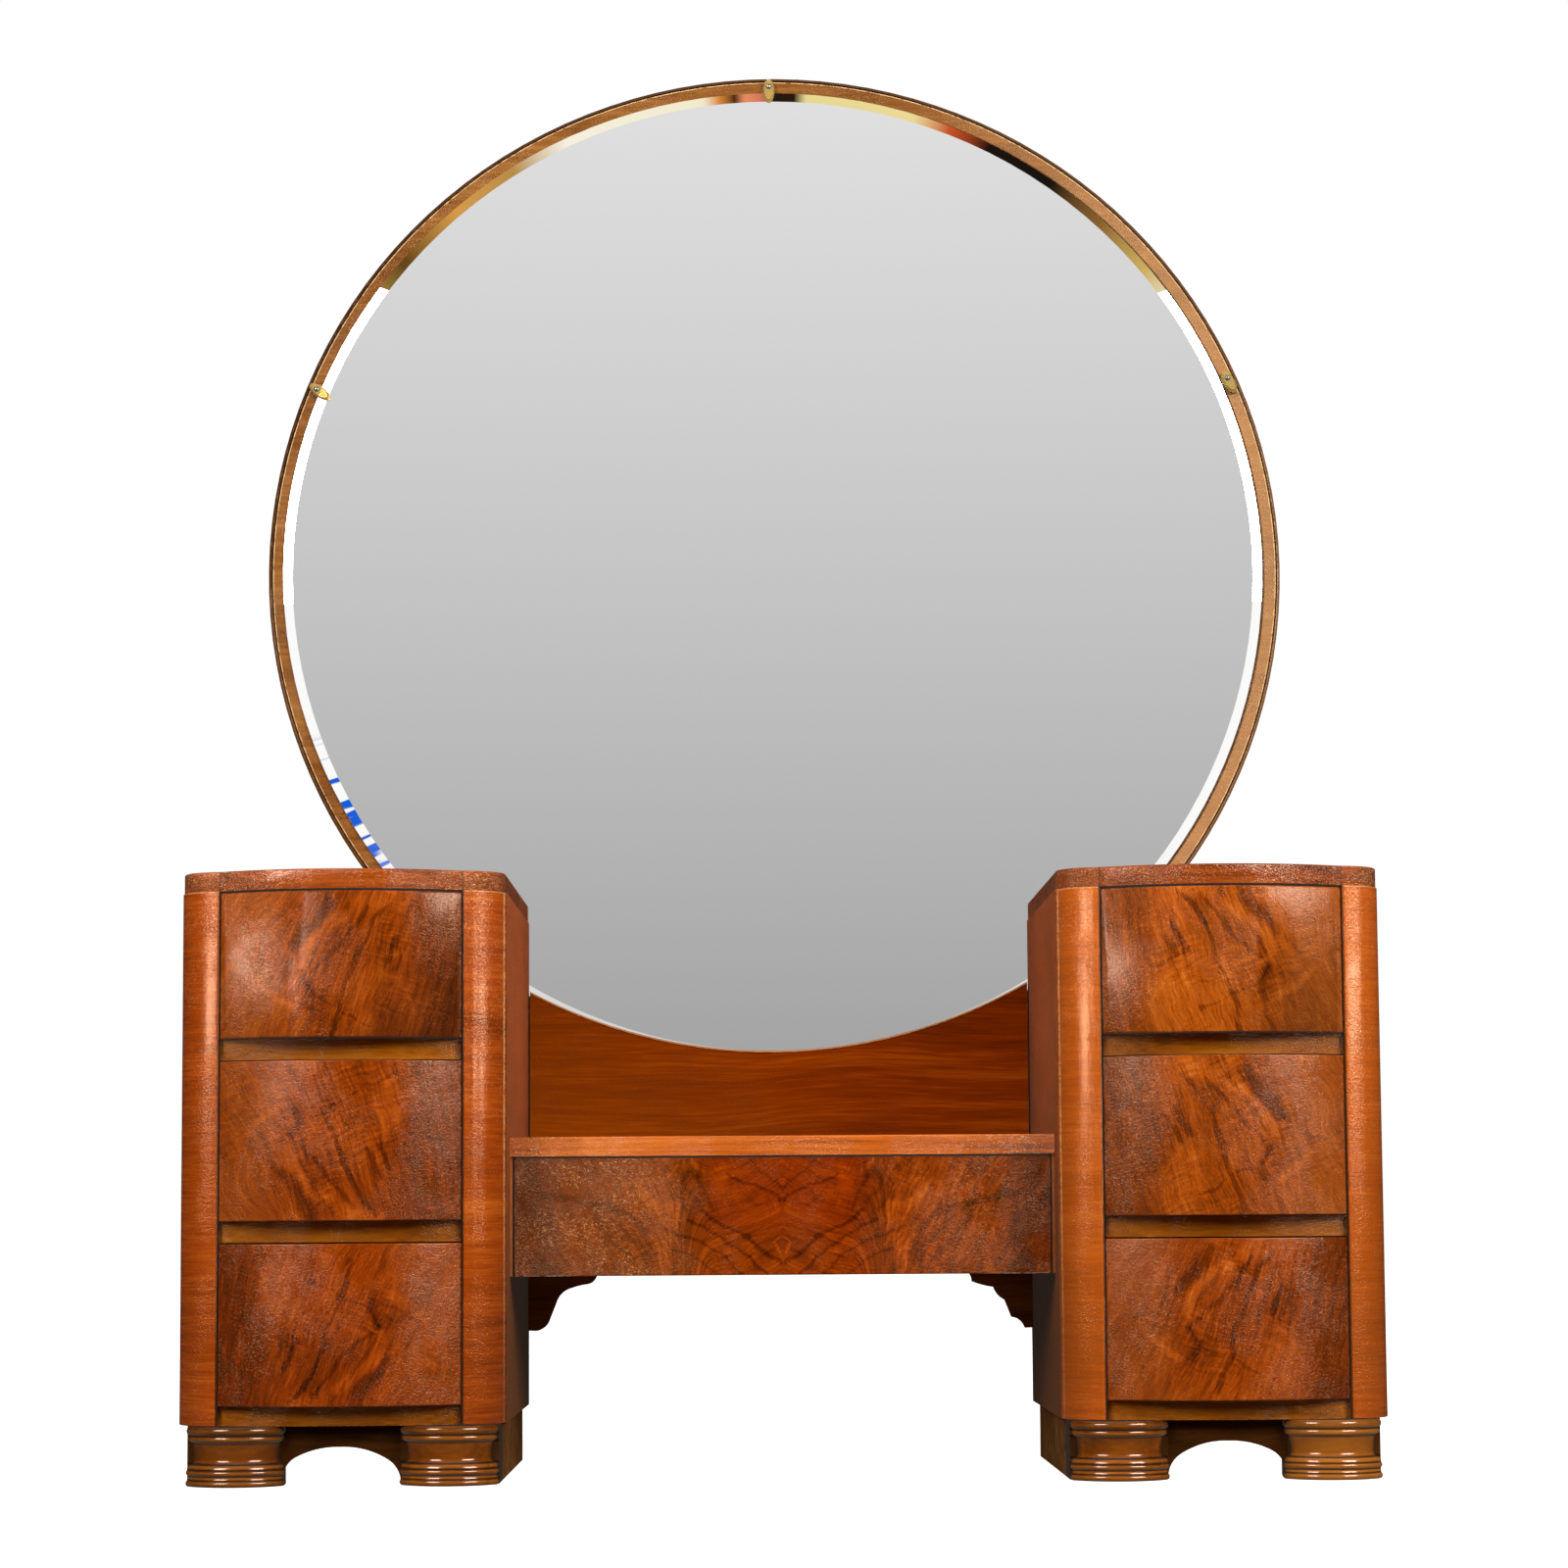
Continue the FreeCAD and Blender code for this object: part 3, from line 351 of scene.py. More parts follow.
def foot_shade_and_highlights(f, p, colour):
    """Painted shade on a foot: dark in its grooves, in the cove, under the case and on the ends that face the arch;
    painted highlights on the reeds and beads; the outer left foot painted darker and the outer right lighter; darker
    towards the back.
    """
    z = p[2] + (f.noise(p[0] * 90.0, p[1] * 90.0, p[2] * 90.0) - 0.5) * 0.0005
    low = None
    for height, width in ((0.0063, 0.0004), (0.0104, 0.0003), (0.0164, 0.0005), (0.0222, 0.0005), (0.0435, 0.0006), (0.0503, 0.0006)):
        d = abs(z - height).smooth(width, width + 0.0011, 1.0, 0.0)
        low = d if low is None else low.most(d)
    cove_shade = z.smooth(0.0225, 0.0240) * z.smooth(0.0435, 0.0425)
    crest_highlight = None
    for height in (0.0036, 0.0085, 0.0136, 0.0195, 0.0468, 0.0550):
        d = abs(z - height).smooth(0.0004, 0.0020, 0.35, 0.0)
        crest_highlight = d if crest_highlight is None else crest_highlight.most(d)
    tone = f.mix(p[0].smooth(-0.44, -0.50) * 0.4, colour, linear(70, 34, 8))
    tone = f.mix(p[0].smooth(0.44, 0.50) * 0.4, tone, linear(206, 128, 48))
    tone = f.mix(crest_highlight, tone, linear(176, 104, 36))
    x = abs(abs(p[0]) - 0.445).smooth(0.062, 0.050)       # painted shade on the ends that face the arch
    tone = f.mix(cove_shade * 0.35, tone, linear(124, 60, 10))
    tone = f.mix(x * 0.65, tone, linear(44, 20, 4))
    tone = f.mix(z.smooth(0.0500, 0.0590) * 0.5, tone, linear(40, 16, 2))
    back = p[1].smooth(-0.224, -0.214) * 0.85
    tone = f.mix(back, tone, linear(58, 34, 14))
    return f.mix(low * 0.8, tone, linear(24, 8, 1))


BOARD_BACK = max(v.co.y for v in NODES["mirror_backboard"].data.vertices)


def ring_lines(f, p, colour):
    """The mirror board's rim: painted lighter to the right where more light falls, darker in its groove and where it
    meets the glass, a painted highlight line beside the bead, and the outer bead darker towards the top.
    """
    x, z = p[0] + 0.0011, p[2] - 0.995
    chips = f.noise(p[0] * 130.0, p[1] * 130.0, p[2] * 130.0, detail=2.0)
    r = (x * x + z * z).sqrt() + (chips - 0.5) * 0.0006
    # Painted light: the right side of the rim lighter, as more light falls there.
    right = x.smooth(0.10, 0.50)
    tone = f.mix(right * 0.45, colour, linear(206, 156, 108))
    groove = abs(r - 0.5708).smooth(0.0005, 0.0013, 0.85, 0.0)
    tone = f.mix(groove, tone, linear(44, 20, 5))
    # A painted highlight line beside the bead.
    painted_edge_highlight = abs(r - 0.5693).smooth(0.0002, 0.0009, 1.0, 0.0) * chips.smooth(0.34, 0.52, 0.2, 0.9)
    tone = f.mix(painted_edge_highlight, tone, linear(244, 204, 148))
    bead = r.smooth(0.5709, 0.5716) * (z.smooth(-0.1, 0.35, 0.45, 0.85))
    tone = f.mix(bead, tone, linear(66, 38, 20))
    front = p[1].smooth(BOARD_BACK - 0.001, BOARD_BACK - 0.003)
    return f.mix(r.smooth(0.5574, 0.5566) * front * 0.8, tone, linear(34, 16, 5))


def rail_edge_highlight(f, p, colour):
    """The finger rails: a painted highlight along the lower edge of the lowest."""
    spots = f.noise(p[0] * 200.0, p[1] * 200.0, p[2] * 400.0, detail=2.0)
    lowest_edge_highlight = (p[2] + spots * 0.0006).smooth(0.0604, 0.0599) * spots.smooth(0.42, 0.6) * 0.4
    return f.mix(lowest_edge_highlight, colour, linear(214, 120, 50))


def painted_shade_low(top, bottom, deep):
    """Painted shade: darker and duller towards the floor, the right-hand one a shade darker, and both darker towards
    the back.
    """
    def shade(f, p, colour):
        tone = f.mix(p[2].smooth(top, bottom), colour, deep)
        tone = f.mix(p[0].smooth(-0.1, 0.1) * 0.22, tone, linear(96, 36, 8))
        return f.mix(p[1].smooth(0.02, 0.19) * 0.35, tone, linear(92, 34, 8))
    return shade


def splash_edge(f, p, colour):
    """Where the veneer is worn through along the round cut-out: bare light wood with a dark line beside it."""
    x, z = p[0] + 0.0073, p[2] - 1.0247
    r = (x * x + z * z).sqrt()
    ragged = f.noise(p[0] * 300.0, p[1] * 300.0, p[2] * 300.0, detail=2.0) * 0.0012
    bare = (r + ragged).smooth(0.5776, 0.5770) * 0.8
    line = abs(r - 0.5782 + ragged).smooth(0.0002, 0.0008, 0.6, 0.0)
    gold = (p[0] + p[2] * 1.4).smooth(0.30, 0.70, 0.35, 0.0)
    tone = f.mix(gold, colour, linear(146, 78, 8))
    return f.mix(line, f.mix(bare, tone, linear(196, 146, 92)), linear(50, 18, 2))


def corner_runs(p):
    """The lacquer of a top board is rougher towards its corners."""
    return abs(abs(p[0]) - 0.445).smooth(0.05, 0.13, 1.0, 2.8)


def end_runs(p):
    """The lacquer of the deck is rougher towards its ends."""
    return abs(p[0]).smooth(0.08, 0.24, 0.9, 3.0)


PEACH = (255, 191, 139)
post_veneer = straight("post_veneer", (5.0, 5.0, 100.0), (linear(100, 34, 0), linear(164, 66, 6), linear(206, 102, 24)), wave=(0, 0, 0.012), gloss=0.2,
                       coat=0.15, coat_rough=0.07, spec=0.85, sheen=PEACH, shade=post_highlights_and_shade, peel=1.0, spread=(0.31, 0.69), mixed=(0.36, 0.32, 0.32))
top_veneer = straight("top_veneer", (5.0, 60.0, 150.0), (linear(90, 32, 0), linear(156, 64, 8), linear(196, 94, 24)), wave=(0, 0, 0.006), shade=seams_and_glints, gloss=0.16,
                      coat=0.8, coat_rough=0.06, spec=0.9, sheen=PEACH, peel=1.6, runs=corner_runs)
side_veneer = straight("side_veneer", (60.0, 14.0, 60.0), (linear(154, 70, 16), linear(204, 98, 30), linear(232, 128, 50)), wave=(0, 0, 0.02), coat=0.4, coat_rough=0.08, spec=0.3,
                       gloss=0.35, sheen=PEACH, peel=1.5, shade=side_shade_and_glints, spread=(0.26, 0.74), mixed=(0.14, 0.36, 0.50))
outer_veneer = straight("outer_veneer", (60.0, 60.0, 5.0), (linear(96, 36, 2), linear(150, 62, 8), linear(184, 88, 22)), wave=(0.02, 0.02, 0), coat=0.3)
splash_veneer = straight("splash_veneer", (3.0, 60.0, 75.0), (linear(78, 26, 0), linear(122, 45, 0), linear(160, 74, 4)), wave=(0, 0, 0.05), spec=0.0, coat=0.08, mixed=(0.44, 0.34, 0.22),
                         shade=splash_edge)
deck_veneer = straight("deck_veneer", (3.0, 60.0, 150.0), (linear(140, 56, 6), linear(204, 98, 22), linear(234, 138, 52)), wave=(0, 0, 0.008), gloss=0.18,
                       coat=0.6, coat_rough=0.06, spec=0.7, sheen=PEACH, peel=1.5, runs=end_runs, shade=deck_glints)
rail_wood = straight("rail_wood", (5.0, 60.0, 60.0), (linear(98, 48, 0), linear(150, 79, 4), linear(184, 108, 16)), wave=(0, 0, 0.01), coat=0.3, coat_rough=0.1, spec=0.25, gloss=0.3, peel=0.9,
                     sheen=PEACH, shade=rail_edge_highlight)
foot_wood = straight("foot_wood", (6.0, 60.0, 60.0), (linear(78, 34, 2), linear(130, 66, 8), linear(172, 98, 22)), coat=1.0, coat_rough=0.05, spec=0.6, peel=0.12,
                     gloss=0.2, sheen=PEACH, shade=foot_shade_and_highlights)
# Lit and shaded copies of one wood: the apron's is the dark, shaded copy; the plinth's is lighter as painted sheen on
# its sides; the brackets' is lightened as painted fill light in their shade.
apron_wood = straight("apron_wood", (5.0, 60.0, 60.0), (linear(42, 22, 6), linear(66, 35, 11), linear(88, 50, 20)), coat=0.0, spec=0.0, gloss=0.6)
bracket_wood = straight("bracket_wood", (5.0, 60.0, 60.0), (linear(84, 42, 12), linear(124, 66, 20), linear(156, 90, 34)), coat=0.0, spec=0.0, gloss=0.6)
plinth_wood = straight("plinth_wood", (5.0, 60.0, 60.0), (linear(72, 42, 20), linear(110, 71, 38), linear(136, 92, 52)), coat=0.0, spec=0.0, gloss=0.6)
mirror_wood = straight("mirror_wood", (6.0, 60.0, 60.0), (linear(86, 46, 12), linear(130, 78, 30), linear(160, 108, 52)), coat=0.15, coat_rough=0.08, spec=0.6, gloss=0.25, sheen=PEACH,
                       shade=ring_lines)
PLAIN = (linear(166, 124, 80), linear(190, 148, 98), linear(206, 166, 116))
secondary_wood = straight("secondary_wood", (60.0, 3.0, 60.0), PLAIN, coat=0.0, spec=0.2, gloss=0.6, peel=0.2, spread=(0.30, 0.70))
back_wood = straight("back_wood", (60.0, 60.0, 3.0), PLAIN, coat=0.0, spec=0.2, gloss=0.6, peel=0.2, spread=(0.30, 0.70))


CROTCH = [(0.0, linear(24, 7, 0)), (0.2, linear(66, 24, 1)), (0.4, linear(114, 46, 3)), (0.56, linear(152, 66, 7)), (0.74, linear(188, 92, 20)), (1.0, linear(222, 138, 62))]


def figured(f, p, point, across, along, strokes, seed, fray=1.0):
    """The layers that every crotch veneer has: blotches, streaks, fibres, feather ripples, pores and the drawn strokes."""
    blotch = f.noise(across * 0.022 + seed, along * 0.010, 1.0 + seed, detail=2.0)
    streak = f.noise(across * 0.16 - seed, along * 0.016 + 2.0, 2.0, detail=5.0, rough=0.68)
    fibre = f.noise(across * 0.6 + 5.0, along * 0.05, 3.0 - seed, detail=3.0, rough=0.65)
    ripple = f.noise(along * 0.30, across * 0.04 + seed, 4.0, detail=2.0)
    where = f.noise(across * 0.018, along * 0.018 + 7.0, 5.0 + seed, detail=1.0).smooth(0.44, 0.60)
    pore = f.noise(across * 1.7, along * 0.25, 6.0, detail=1.0)
    tone = (blotch - 0.5) * 0.36 + (streak - 0.5) * 0.62 + (fibre - 0.5) * 0.50 + (ripple - 0.5) * where * 0.45 + (pore - 0.5) * 0.30
    ragged = ((streak - 0.5) * 9.0 + (fibre - 0.5) * 5.0) * fray
    for places, width, fade, amount in strokes:
        tone = tone + f.stroke(point, places, width, fade, ragged) * amount
    return tone, fibre + pore


LEAF = [
    ([(-45, 62), (-30, 45), (-18, 20), (-9, -5), (0, -27), (8, -52), (14, -78)], 0.8, 3.4, -0.15),
    ([(-22, 56), (-9, 39), (9, 14), (34, -6)], 0.7, 3.0, -0.14),
    ([(-4, 62), (14, 40), (30, 14), (40, -2)], 0.5, 2.4, -0.10),
    ([(18, 64), (30, 43), (50, 22)], 2.0, 9.0, -0.18),
    ([(-52, 25), (-40, 2)], 0.8, 4.5, -0.17),
    ([(-60, 16), (-48, -4)], 0.5, 3.0, -0.12),
    ([(42, -14), (33, -28), (36, -42)], 1.0, 6.0, -0.15),
    ([(-26, -60), (-12, -52), (6, -41), (31, -32), (42, -14)], 0.2, 1.6, -0.12),
    ([(60, 18), (74, 2), (98, -4), (118, 4)], 0.2, 2.0, -0.09),
    ([(-40, 68), (-18, 62)], 5.0, 12.0, 0.11),
    ([(2, 50), (20, 38), (38, 18), (44, 0)], 1.5, 8.0, 0.15),
    ([(86, -18), (71, -32), (51, -44)], 0.8, 5.0, 0.14),
    ([(-34, -4), (-49, -14), (-59, -27), (-72, -50)], 0.3, 2.2, 0.08),
    ([(67, -26), (75, -70)], 0.4, 2.0, 0.13),
    ([(54, -36), (58, -68)], 0.4, 2.0, 0.10),
    ([(61, -30), (66, -60)], 0.4, 1.8, 0.08),
    ([(104, -44), (105, -76)], 0.4, 2.0, 0.09),
    ([(92, -50), (94, -80)], 0.4, 2.0, 0.07),
    ([(-98, 20), (-92, -6)], 1.5, 7.0, 0.10),
]


def half_width(node):
    xs = [v.co.x for v in NODES[node].data.vertices]
    return (max(xs) - min(xs)) / 2


HALF, WIDE_HALF = half_width("left_upper_drawer_front"), half_width("centre_drawer_front")


def crotch(name, centre, flip, shift, seed, level=0.0, redder=0.0):
    """One leaf of crotch veneer on a bowed drawer front; the six leaves are the same figure turned over and round."""
    f = Finish(name)
    p = f.place((centre[0], 0.0, centre[1]))
    u0, v0 = p[0] * (1000.0 * flip[0]) + shift[0], p[2] * (1000.0 * flip[1]) + shift[1]
    drift = f.noise(u0 * 0.016, v0 * 0.016, seed, detail=2.0)
    sway = f.noise(u0 * 0.016 + 9.0, v0 * 0.016, seed + 3.0, detail=2.0)
    small = f.noise(u0 * 0.09, v0 * 0.09, seed + 6.0, detail=1.0)
    u = u0 + (drift - 0.5) * 16.0 + (small - 0.5) * 4.0
    v = v0 + (sway - 0.5) * 16.0 - (small - 0.5) * 4.0
    point = f.vector(u, v, 0.0)
    # The grain leans, fans out a little and bends round the knot at the upper right.
    knot = (((u - 88.0) * 0.8) ** 2.0 + ((v - 38.0) * 1.25) ** 2.0).sqrt()
    inside = knot.smooth(48.0, 12.0) * 0.12
    lean = v * 0.0016
    across = u * 0.94 + v * 0.34 + u * lean
    along = u * 0.34 - v * 0.94
    across = across + (knot * 1.2 - across) * inside
    tone, relief = figured(f, p, point, across, along, LEAF, seed)
    tone = tone + inside * 0.08
    tone = tone + u.smooth(-62.0, -96.0) * -0.10 + u.smooth(70.0, 110.0) * 0.03
    pool = f.stroke(point, [(-52, -52), (-20, -30)], 18.0, 22.0)
    tone = tone + pool * 0.06
    colour = f.ramp(tone + (0.50 + level), CROTCH)
    brown = u.smooth(-50.0, -90.0) * 0.25
    colour = f.mix(brown, colour, linear(92, 44, 16))
    tan = u.smooth(40.0, 84.0) * 0.25
    colour = f.mix(tan, colour, linear(150, 84, 34))
    if redder:
        colour = f.mix(redder, colour, (0.80, 0.50, 0.20, 1.0), "MULTIPLY")
    # Painted glints of the rough finish, away from the middle of the leaf.
    colour = painted_glints(f, p, colour, abs(p[0] - 0.02).smooth(0.03, 0.10, 0.08, 0.32), (212, 134, 78))
    # Painted shade in the gaps at the front's side edges.
    edge_gap_shade = abs(p[0]).smooth(HALF - 0.0013, HALF - 0.0005) * abs(p[0]).smooth(HALF - 0.0001, HALF - 0.0003) * 0.9
    colour = f.mix(edge_gap_shade, colour, linear(24, 8, 1))
    normal = lacquer(f, p[0], p[1], p[2], peel=1.0, grain=relief, grain_depth=0.00003)
    f.surface(colour, 0.17, normal, Coat_Weight=0.28, Coat_Roughness=0.05, Specular_IOR_Level=0.45, Specular_Tint=linear(*PEACH))
    return f.material


WIDE = [
    ([(0, -47), (18, -36), (33, -22), (55, -11), (73, -3), (84, 6)], 0.5, 2.8, -0.19),
    ([(15, -60), (33, -41), (55, -27), (77, -14), (98, -3)], 0.4, 2.6, -0.15),
    ([(40, -60), (62, -39), (84, -25), (106, -19), (122, -12)], 0.3, 2.6, -0.13),
    ([(64, -62), (84, -44), (112, -34)], 0.3, 2.6, -0.10),
    ([(0, 16), (15, 27), (29, 33), (44, 37), (56, 43)], 0.5, 2.4, -0.17),
    ([(0, 27), (10, 37), (22, 47), (30, 60)], 0.3, 2.2, -0.12),
    ([(34, 16), (26, 12), (16, 14)], 0.3, 3.4, -0.09),
    ([(84, 56), (86, 37), (78, 21), (72, 6)], 0.4, 4.4, -0.10),
    ([(97, 46), (105, 37), (98, 25), (86, 14)], 0.3, 3.6, -0.08),
    ([(118, 60), (122, 40), (112, 20), (96, 4)], 0.3, 4.4, -0.05),
    ([(1, -38), (7, -27)], 0.4, 1.6, 0.16),
    ([(10, 6), (30, 2), (52, 8)], 5.0, 12.0, 0.07),
    ([(64, 50), (66, 30)], 4.0, 8.0, 0.08),
    ([(48, -17), (30, -32)], 1.5, 6.0, 0.06),
    ([(140, -16), (152, -4), (176, 10), (214, 17), (250, 21)], 1.0, 6.0, -0.15),
    ([(112, -4), (126, 8), (150, 22), (190, 34)], 4.0, 14.0, 0.08),
    ([(266, 62), (258, 10), (240, -30), (236, -62)], 5.0, 16.0, -0.14),
]


def wide_crotch(name, centre):
    """The wide drawer's front: two leaves laid open like a book about its middle."""
    f = Finish(name)
    p = f.place((centre[0], 0.0, centre[1]))
    u0, v0 = p[0] * 1000.0, p[2] * 1000.0
    uneven = (f.noise(u0 * 0.03, v0 * 0.03, 21.0, detail=1.0) - 0.5) * 5.0
    fold = abs(u0 + uneven)
    drift = f.noise(fold * 0.014, v0 * 0.014, 31.0, detail=2.0)
    sway = f.noise(fold * 0.014 + 9.0, v0 * 0.014, 34.0, detail=2.0)
    small = f.noise(fold * 0.09, v0 * 0.09, 37.0, detail=1.0)
    u = fold + (drift - 0.5) * 14.0 + (small - 0.5) * 4.0
    v = v0 + (sway - 0.5) * 14.0 - (small - 0.5) * 4.0
    point = f.vector(u, v, 0.0)
    # Near the fold the grain sweeps over as an arch; farther out it leans.
    out = u.smooth(70.0, 130.0)
    arch = v + u * 0.55 - (u * u) * 0.0018
    across = arch + (u * 0.86 + v * -0.5 - arch) * out
    along = (u * 0.9 - v * 0.45) + (u * 0.5 + v * 0.86 - (u * 0.9 - v * 0.45)) * out
    tone, relief = figured(f, p, point, across, along, WIDE, 41.0, 0.25)
    # Curl: short slanting waves that catch the light, stronger to the right.
    curl = f.noise((u * 0.94 - v * 0.35) * 0.11, (u * 0.35 + v * 0.94) * 0.034, 51.0, detail=2.0)
    side = p[0].smooth(-0.05, 0.10, 0.45, 1.0)
    tone = tone + (curl - 0.48) * (u.smooth(92.0, 135.0) * side) * 0.75
    colour = f.ramp(tone + 0.45, CROTCH)
    red = u.smooth(104.0, 62.0) * v.smooth(-34.0, 4.0, 0.30, 0.72)
    colour = f.mix(red, colour, f.ramp(tone + 0.45, [(0.1, linear(62, 14, 0)), (0.5, linear(138, 44, 0)), (0.9, linear(178, 70, 2))]))
    duller = u.smooth(110.0, 150.0) * 0.35
    colour = f.mix(duller * 0.7, colour, linear(108, 50, 6))
    colour = f.mix(p[0].smooth(-0.10, -0.20) * 0.35, colour, linear(104, 52, 24))
    colour = f.mix(p[0].smooth(-0.10, 0.10) * 0.55, colour, (1.0, 0.72, 0.40, 1.0), "MULTIPLY")
    chip = f.noise(p[0] * 140.0, 1.0, p[2] * 500.0, detail=2.0)
    # A painted highlight along the lower edge near both ends.
    painted_edge_highlight = (p[2] + chip * 0.0016).smooth(-0.0583, -0.0590) * abs(p[0]).smooth(0.205, 0.235) * chip.smooth(0.40, 0.52)
    colour = f.mix(painted_edge_highlight * 0.8, colour, linear(244, 214, 190))
    # Painted glints, stronger on the left.
    colour = painted_glints(f, p, colour, p[0].smooth(-0.08, -0.18, 0.0, 0.62).most(p[0].smooth(0.08, 0.20, 0.0, 0.32)), (236, 168, 106))
    # Painted shade in the gaps at the front's side edges.
    edge_gap_shade = abs(p[0]).smooth(WIDE_HALF - 0.0013, WIDE_HALF - 0.0005) * abs(p[0]).smooth(WIDE_HALF - 0.0001, WIDE_HALF - 0.0003) * 0.85
    colour = f.mix(edge_gap_shade, colour, linear(24, 8, 1))
    runs = p[0].smooth(-0.06, -0.20, 0.8, 2.2).most(p[0].smooth(0.08, 0.22, 0.8, 1.6))
    normal = lacquer(f, p[0], p[1], p[2], peel=1.0, grain=relief, grain_depth=0.00003, more=runs)
    f.surface(colour, 0.17, normal, Coat_Weight=0.3, Coat_Roughness=0.05, Specular_IOR_Level=0.5, Specular_Tint=linear(*PEACH))
    return f.material


LEAVES = {
    "left_upper_drawer_front": crotch("crotch_left_upper", (-0.445, 0.5193), (-1, 1), (8.0, 0.0), 1.3, -0.015, 0.3),
    "left_middle_drawer_front": crotch("crotch_left_middle", (-0.445, 0.34285), (-1, -1), (-6.0, -12.0), 2.6, 0.0, 0.45),
    "left_lower_drawer_front": crotch("crotch_left_lower", (-0.445, 0.1596), (1, -1), (0.0, -14.0), 3.9, -0.01, 0.6),
    "right_upper_drawer_front": crotch("crotch_right_upper", (0.445, 0.5193), (1, 1), (0.0, -7.0), 4.1, 0.055),
    "right_middle_drawer_front": crotch("crotch_right_middle", (0.445, 0.34285), (1, 1), (0.0, 0.0), 5.2, 0.02, 0.12),
    "right_lower_drawer_front": crotch("crotch_right_lower", (0.445, 0.1596), (-1, 1), (0.0, -6.0), 6.4, 0.0, 0.4),
    "centre_drawer_front": wide_crotch("crotch_centre", (0.0, 0.2651)),
}

silver = Finish("mirror_silver")
silver_skin = silver.surface((0.96, 0.96, 0.96, 1.0), 0.0, Metallic=1.0)

amber = Finish("amber_plastic")
amber_skin = amber.surface(linear(206, 170, 96), 0.22, Transmission_Weight=0.35, IOR=1.5, Coat_Weight=0.6, Coat_Roughness=0.06)

brass = Finish("brass_screw")
brass_skin = brass.surface(linear(204, 198, 184), 0.3, Metallic=1.0)
steel = Finish("steel_screw")
steel_skin = steel.surface(linear(150, 150, 150), 0.35, Metallic=1.0)

SLOTS = {
    "burl_veneer": post_veneer, "post_veneer": post_veneer, "top_veneer": top_veneer, "side_veneer": side_veneer,
    "splash_veneer": splash_veneer, "rail_wood": rail_wood, "foot_wood": foot_wood, "plinth_wood": plinth_wood,
    "mirror_wood": mirror_wood, "secondary_wood": secondary_wood, "drawer_wood": secondary_wood,
    "drawer_plywood": secondary_wood, "back_plywood": back_wood, "mirror_silver": silver_skin,
    "amber_plastic": amber_skin, "brass_screw": brass_skin, "steel_screw": steel_skin,
}
for entry in frame["record"]["subparts"]:
    wear(entry["node"], SLOTS[entry["material_slot"]])
wear("centre_deck", deck_veneer)
wear("scroll_brackets", bracket_wood)
wear("mirror_uprights", back_wood)
for side in ("left", "right"):
    wear(side + "_outer_side", outer_veneer)
    wear(side + "_apron", apron_wood)
for node, leaf in LEAVES.items():
    wear(node, leaf)


# In the photograph the mirror's face shows only the plain room, so every piece stays out of reflections.
for piece in NODES.values():
    piece.visible_glossy = False


# ---------------------------------------------------------------- softened arrises

def soften(node, width, segments=2, angle=35.0):
    """Takes the sharpness off a piece's edges, as sanding and lacquer do."""
    o = NODES[node]
    weld = o.modifiers.new("weld", "WELD")
    weld.merge_threshold = 0.00001
    bevel = o.modifiers.new("arris", "BEVEL")
    bevel.width = width
    bevel.segments = segments
    bevel.limit_method = "ANGLE"
    bevel.angle_limit = math.radians(angle)
    bevel.harden_normals = True
    bevel.use_clamp_overlap = True


for node in LEAVES:
    soften(node, 0.0007)
soften("centre_deck", 0.0010)
for side in ("left", "right"):
    soften(side + "_top_board", 0.0010)
    soften(side + "_outer_post", 0.0010)
    soften(side + "_inner_post", 0.0010)
soften("centre_back_panel", 0.0018, 3)


# ---------------------------------------------------------------- floor, world and lights

floor_mesh = bpy.data.meshes.new("floor")
floor_mesh.from_pydata([(-20, -20, 0), (20, -20, 0), (20, 20, 0), (-20, 20, 0)], [], [(0, 1, 2, 3)])
floor = bpy.data.objects.new("floor", floor_mesh)
scene.collection.objects.link(floor)
floor.location.z = -0.0005
paper = Finish("floor_paper")
px, py, pz = paper.place()
paper_tone = paper.ramp(paper.noise(px * 1.5, py * 1.5, pz, detail=3.0), [(0.3, (0.60, 0.60, 0.60, 1)), (0.7, (0.64, 0.64, 0.64, 1))])
paper.surface(paper_tone, 0.85, Emission_Color=(1, 1, 1, 1), Emission_Strength=0.99, Specular_IOR_Level=0.1)
floor_mesh.materials.append(paper.material)
# The sky below the horizon stands for the floor in reflections and as a light: pale nearby, dark far off.
floor.visible_glossy = False
floor.visible_diffuse = False

world = bpy.data.worlds.new("studio")
scene.world = world
world.use_nodes = True
wt = world.node_tree
wt.nodes.clear()


class Sky(Finish):
    def __init__(self, tree):
        self.tree = tree


sky = Sky(wt)
tc = wt.nodes.new("ShaderNodeTexCoord")
sx = wt.nodes.new("ShaderNodeSeparateXYZ")
wt.links.new(tc.outputs["Generated"], sx.inputs[0])
dx, dy, dz = (Val(wt, sx.outputs[i]) for i in range(3))
path = wt.nodes.new("ShaderNodeLightPath")
mirrored = Val(wt, path.outputs["Is Singular Ray"])
flat = (dx * dx + dy * dy).sqrt()
rise = dz.atan2(flat) * 57.29578           # degrees above the horizon
turn = abs(dx.atan2(-dy)) * 57.29578       # degrees from straight in front of the table
window = turn.smooth(19.0, 12.0) * rise.smooth(26.0, 20.0) * rise.smooth(1.9, 2.5)
grey = sky.ramp(rise.scaled(1.0, 17.0), [(0.0, linear(158, 158, 158)), (1.0, linear(228, 228, 228))])
dark = (0.04, 0.038, 0.036, 1.0)
front = sky.mix(window * mirrored, dark, grey)
wall = turn.smooth(19.5, 21.5).most(rise.smooth(-3.0, -6.0)) * turn.smooth(54.0, 48.0) * rise.smooth(17.5, 16.0) * mirrored
overhead = rise.smooth(50.0, 62.0) * (1.0 - mirrored * 0.9)
side_turn = dx.atan2(-dy) * 57.29578       # the same, negative to the left
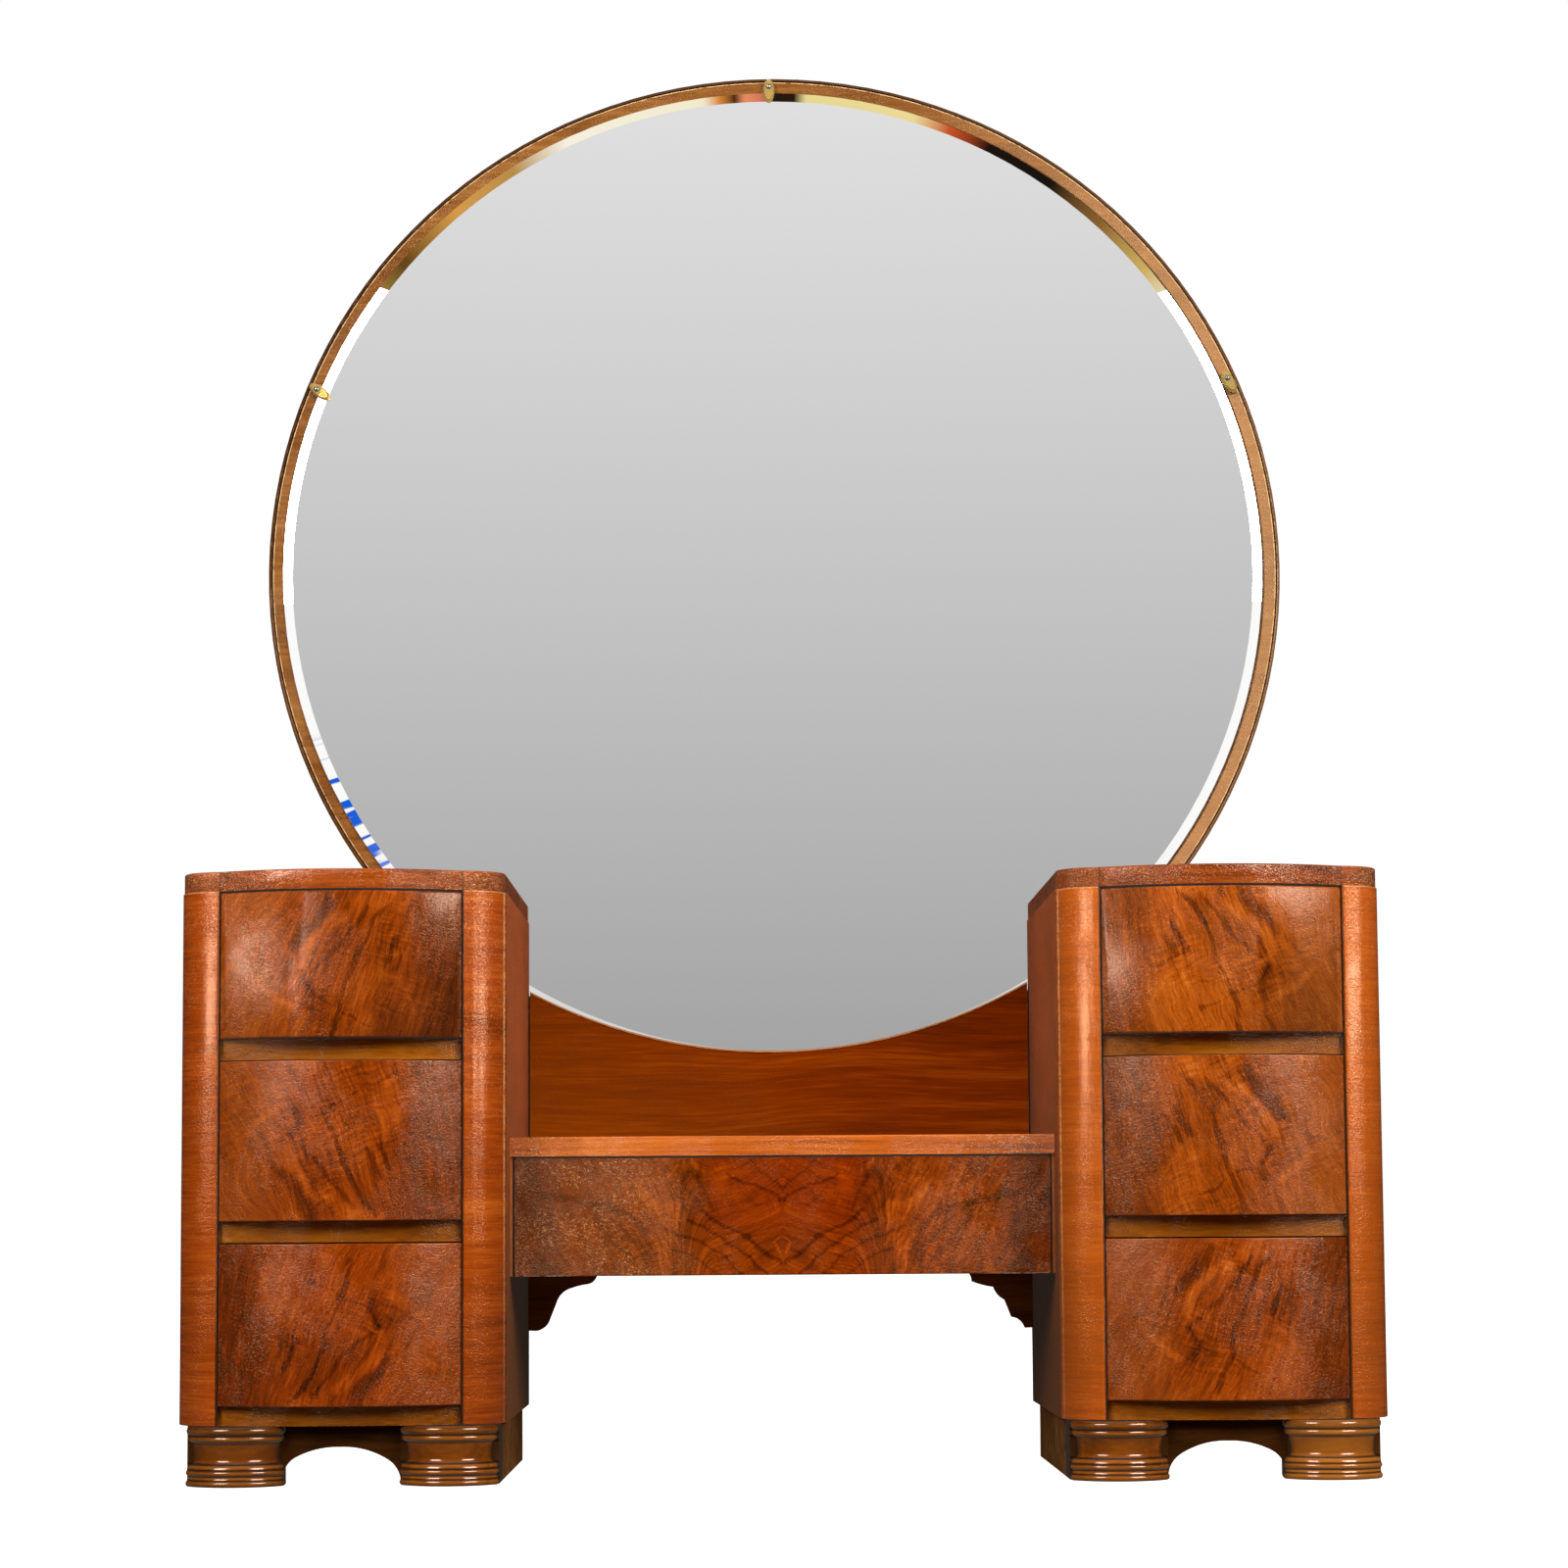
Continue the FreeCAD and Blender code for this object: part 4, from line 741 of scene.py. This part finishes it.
# What the mirror's bevel picks up: white walls at both sides, warm lamps and dark gaps overhead.
patches = sky.noise(dx * 26.0, dz * 60.0, 3.0, detail=2.0)
cool = side_turn.smooth(-25.0, -27.0) * side_turn.smooth(-37.0, -34.0) * rise.smooth(-1.0, -3.0) * rise.smooth(-12.0, -10.0) * patches.smooth(0.50, 0.56)
front = sky.mix(wall, front, sky.mix(cool, (1.0, 1.0, 0.98, 1.0), linear(20, 96, 220)))
lamps = sky.ramp(side_turn.scaled(-34.0, 34.0), [
    (0.03, linear(206, 170, 90)), (0.08, linear(96, 64, 22)), (0.13, linear(216, 158, 76)), (0.19, linear(186, 142, 74)), (0.25, linear(250, 244, 226)),
    (0.42, linear(246, 238, 206)), (0.44, linear(222, 140, 62)), (0.462, linear(60, 30, 12)), (0.475, linear(236, 146, 100)), (0.49, linear(214, 118, 92)),
    (0.503, linear(34, 22, 12)), (0.54, linear(40, 26, 14)), (0.555, linear(236, 220, 150)), (0.69, linear(240, 222, 152)), (0.735, linear(204, 84, 40)),
    (0.78, linear(28, 20, 14)), (0.85, linear(26, 20, 14)), (0.90, linear(142, 100, 50)), (0.94, linear(208, 176, 96)), (0.97, linear(250, 240, 214))])
warm = rise.smooth(17.0, 19.0) * rise.smooth(50.0, 47.0) * turn.smooth(42.0, 37.0) * mirrored
front = sky.mix(warm, front, lamps)
above = sky.mix(overhead, front, (1.0, 1.0, 1.0, 1.0))
below = sky.mix(path.outputs["Is Diffuse Ray"], (0.62, 0.61, 0.60, 1.0), (0.20, 0.19, 0.18, 1.0))
studio = sky.mix(rise.smooth(-6.0, -28.0), above, below)
# The lacquer picks up little besides the lamps.
dulled = Val(wt, path.outputs["Is Glossy Ray"]) * (1.0 - mirrored)
hush = sky.mix(overhead, (0.03, 0.026, 0.022, 1.0), (0.35, 0.31, 0.27, 1.0))
hush = sky.mix(rise.smooth(-6.0, -28.0), hush, (0.16, 0.13, 0.10, 1.0))
studio = sky.mix(dulled, studio, hush)
seen = sky.mix(path.outputs["Is Camera Ray"], studio, (1.0, 1.0, 1.0, 1.0))
bg = wt.nodes.new("ShaderNodeBackground")
wt.links.new(seen, bg.inputs["Color"])
bg.inputs["Strength"].default_value = 1.0
wo = wt.nodes.new("ShaderNodeOutputWorld")
wt.links.new(bg.outputs[0], wo.inputs["Surface"])


def softbox(name, place, aim, wide, high, power):
    data = bpy.data.lights.new(name, "AREA")
    data.shape = "RECTANGLE"
    data.size, data.size_y = wide, high
    data.energy = power
    light = bpy.data.objects.new(name, data)
    direction = Vector(aim) - Vector(place)
    light.matrix_world = Matrix.Translation(place) @ direction.to_track_quat("-Z", "Y").to_matrix().to_4x4()
    light.visible_camera = False
    scene.collection.objects.link(light)
    return light


softbox("softbox_left", (-3.20, -4.20, 2.85), (-0.1, -0.1, 0.4), 2.2, 2.5, 205.0)
softbox("softbox_right", (3.60, -4.00, 2.85), (0.1, -0.1, 0.4), 2.6, 2.5, 270.0)
top_light = softbox("softbox_top", (0.0, -1.7, 3.0), (0.0, -0.1, 0.3), 3.0, 1.4, 30.0)
top_light.visible_glossy = False
# A faint light from behind, for views of the back.
back_light = softbox("softbox_back", (0.0, 4.2, 2.4), (0.0, 0.2, 0.7), 3.0, 2.0, 60.0)
back_light.visible_glossy = False
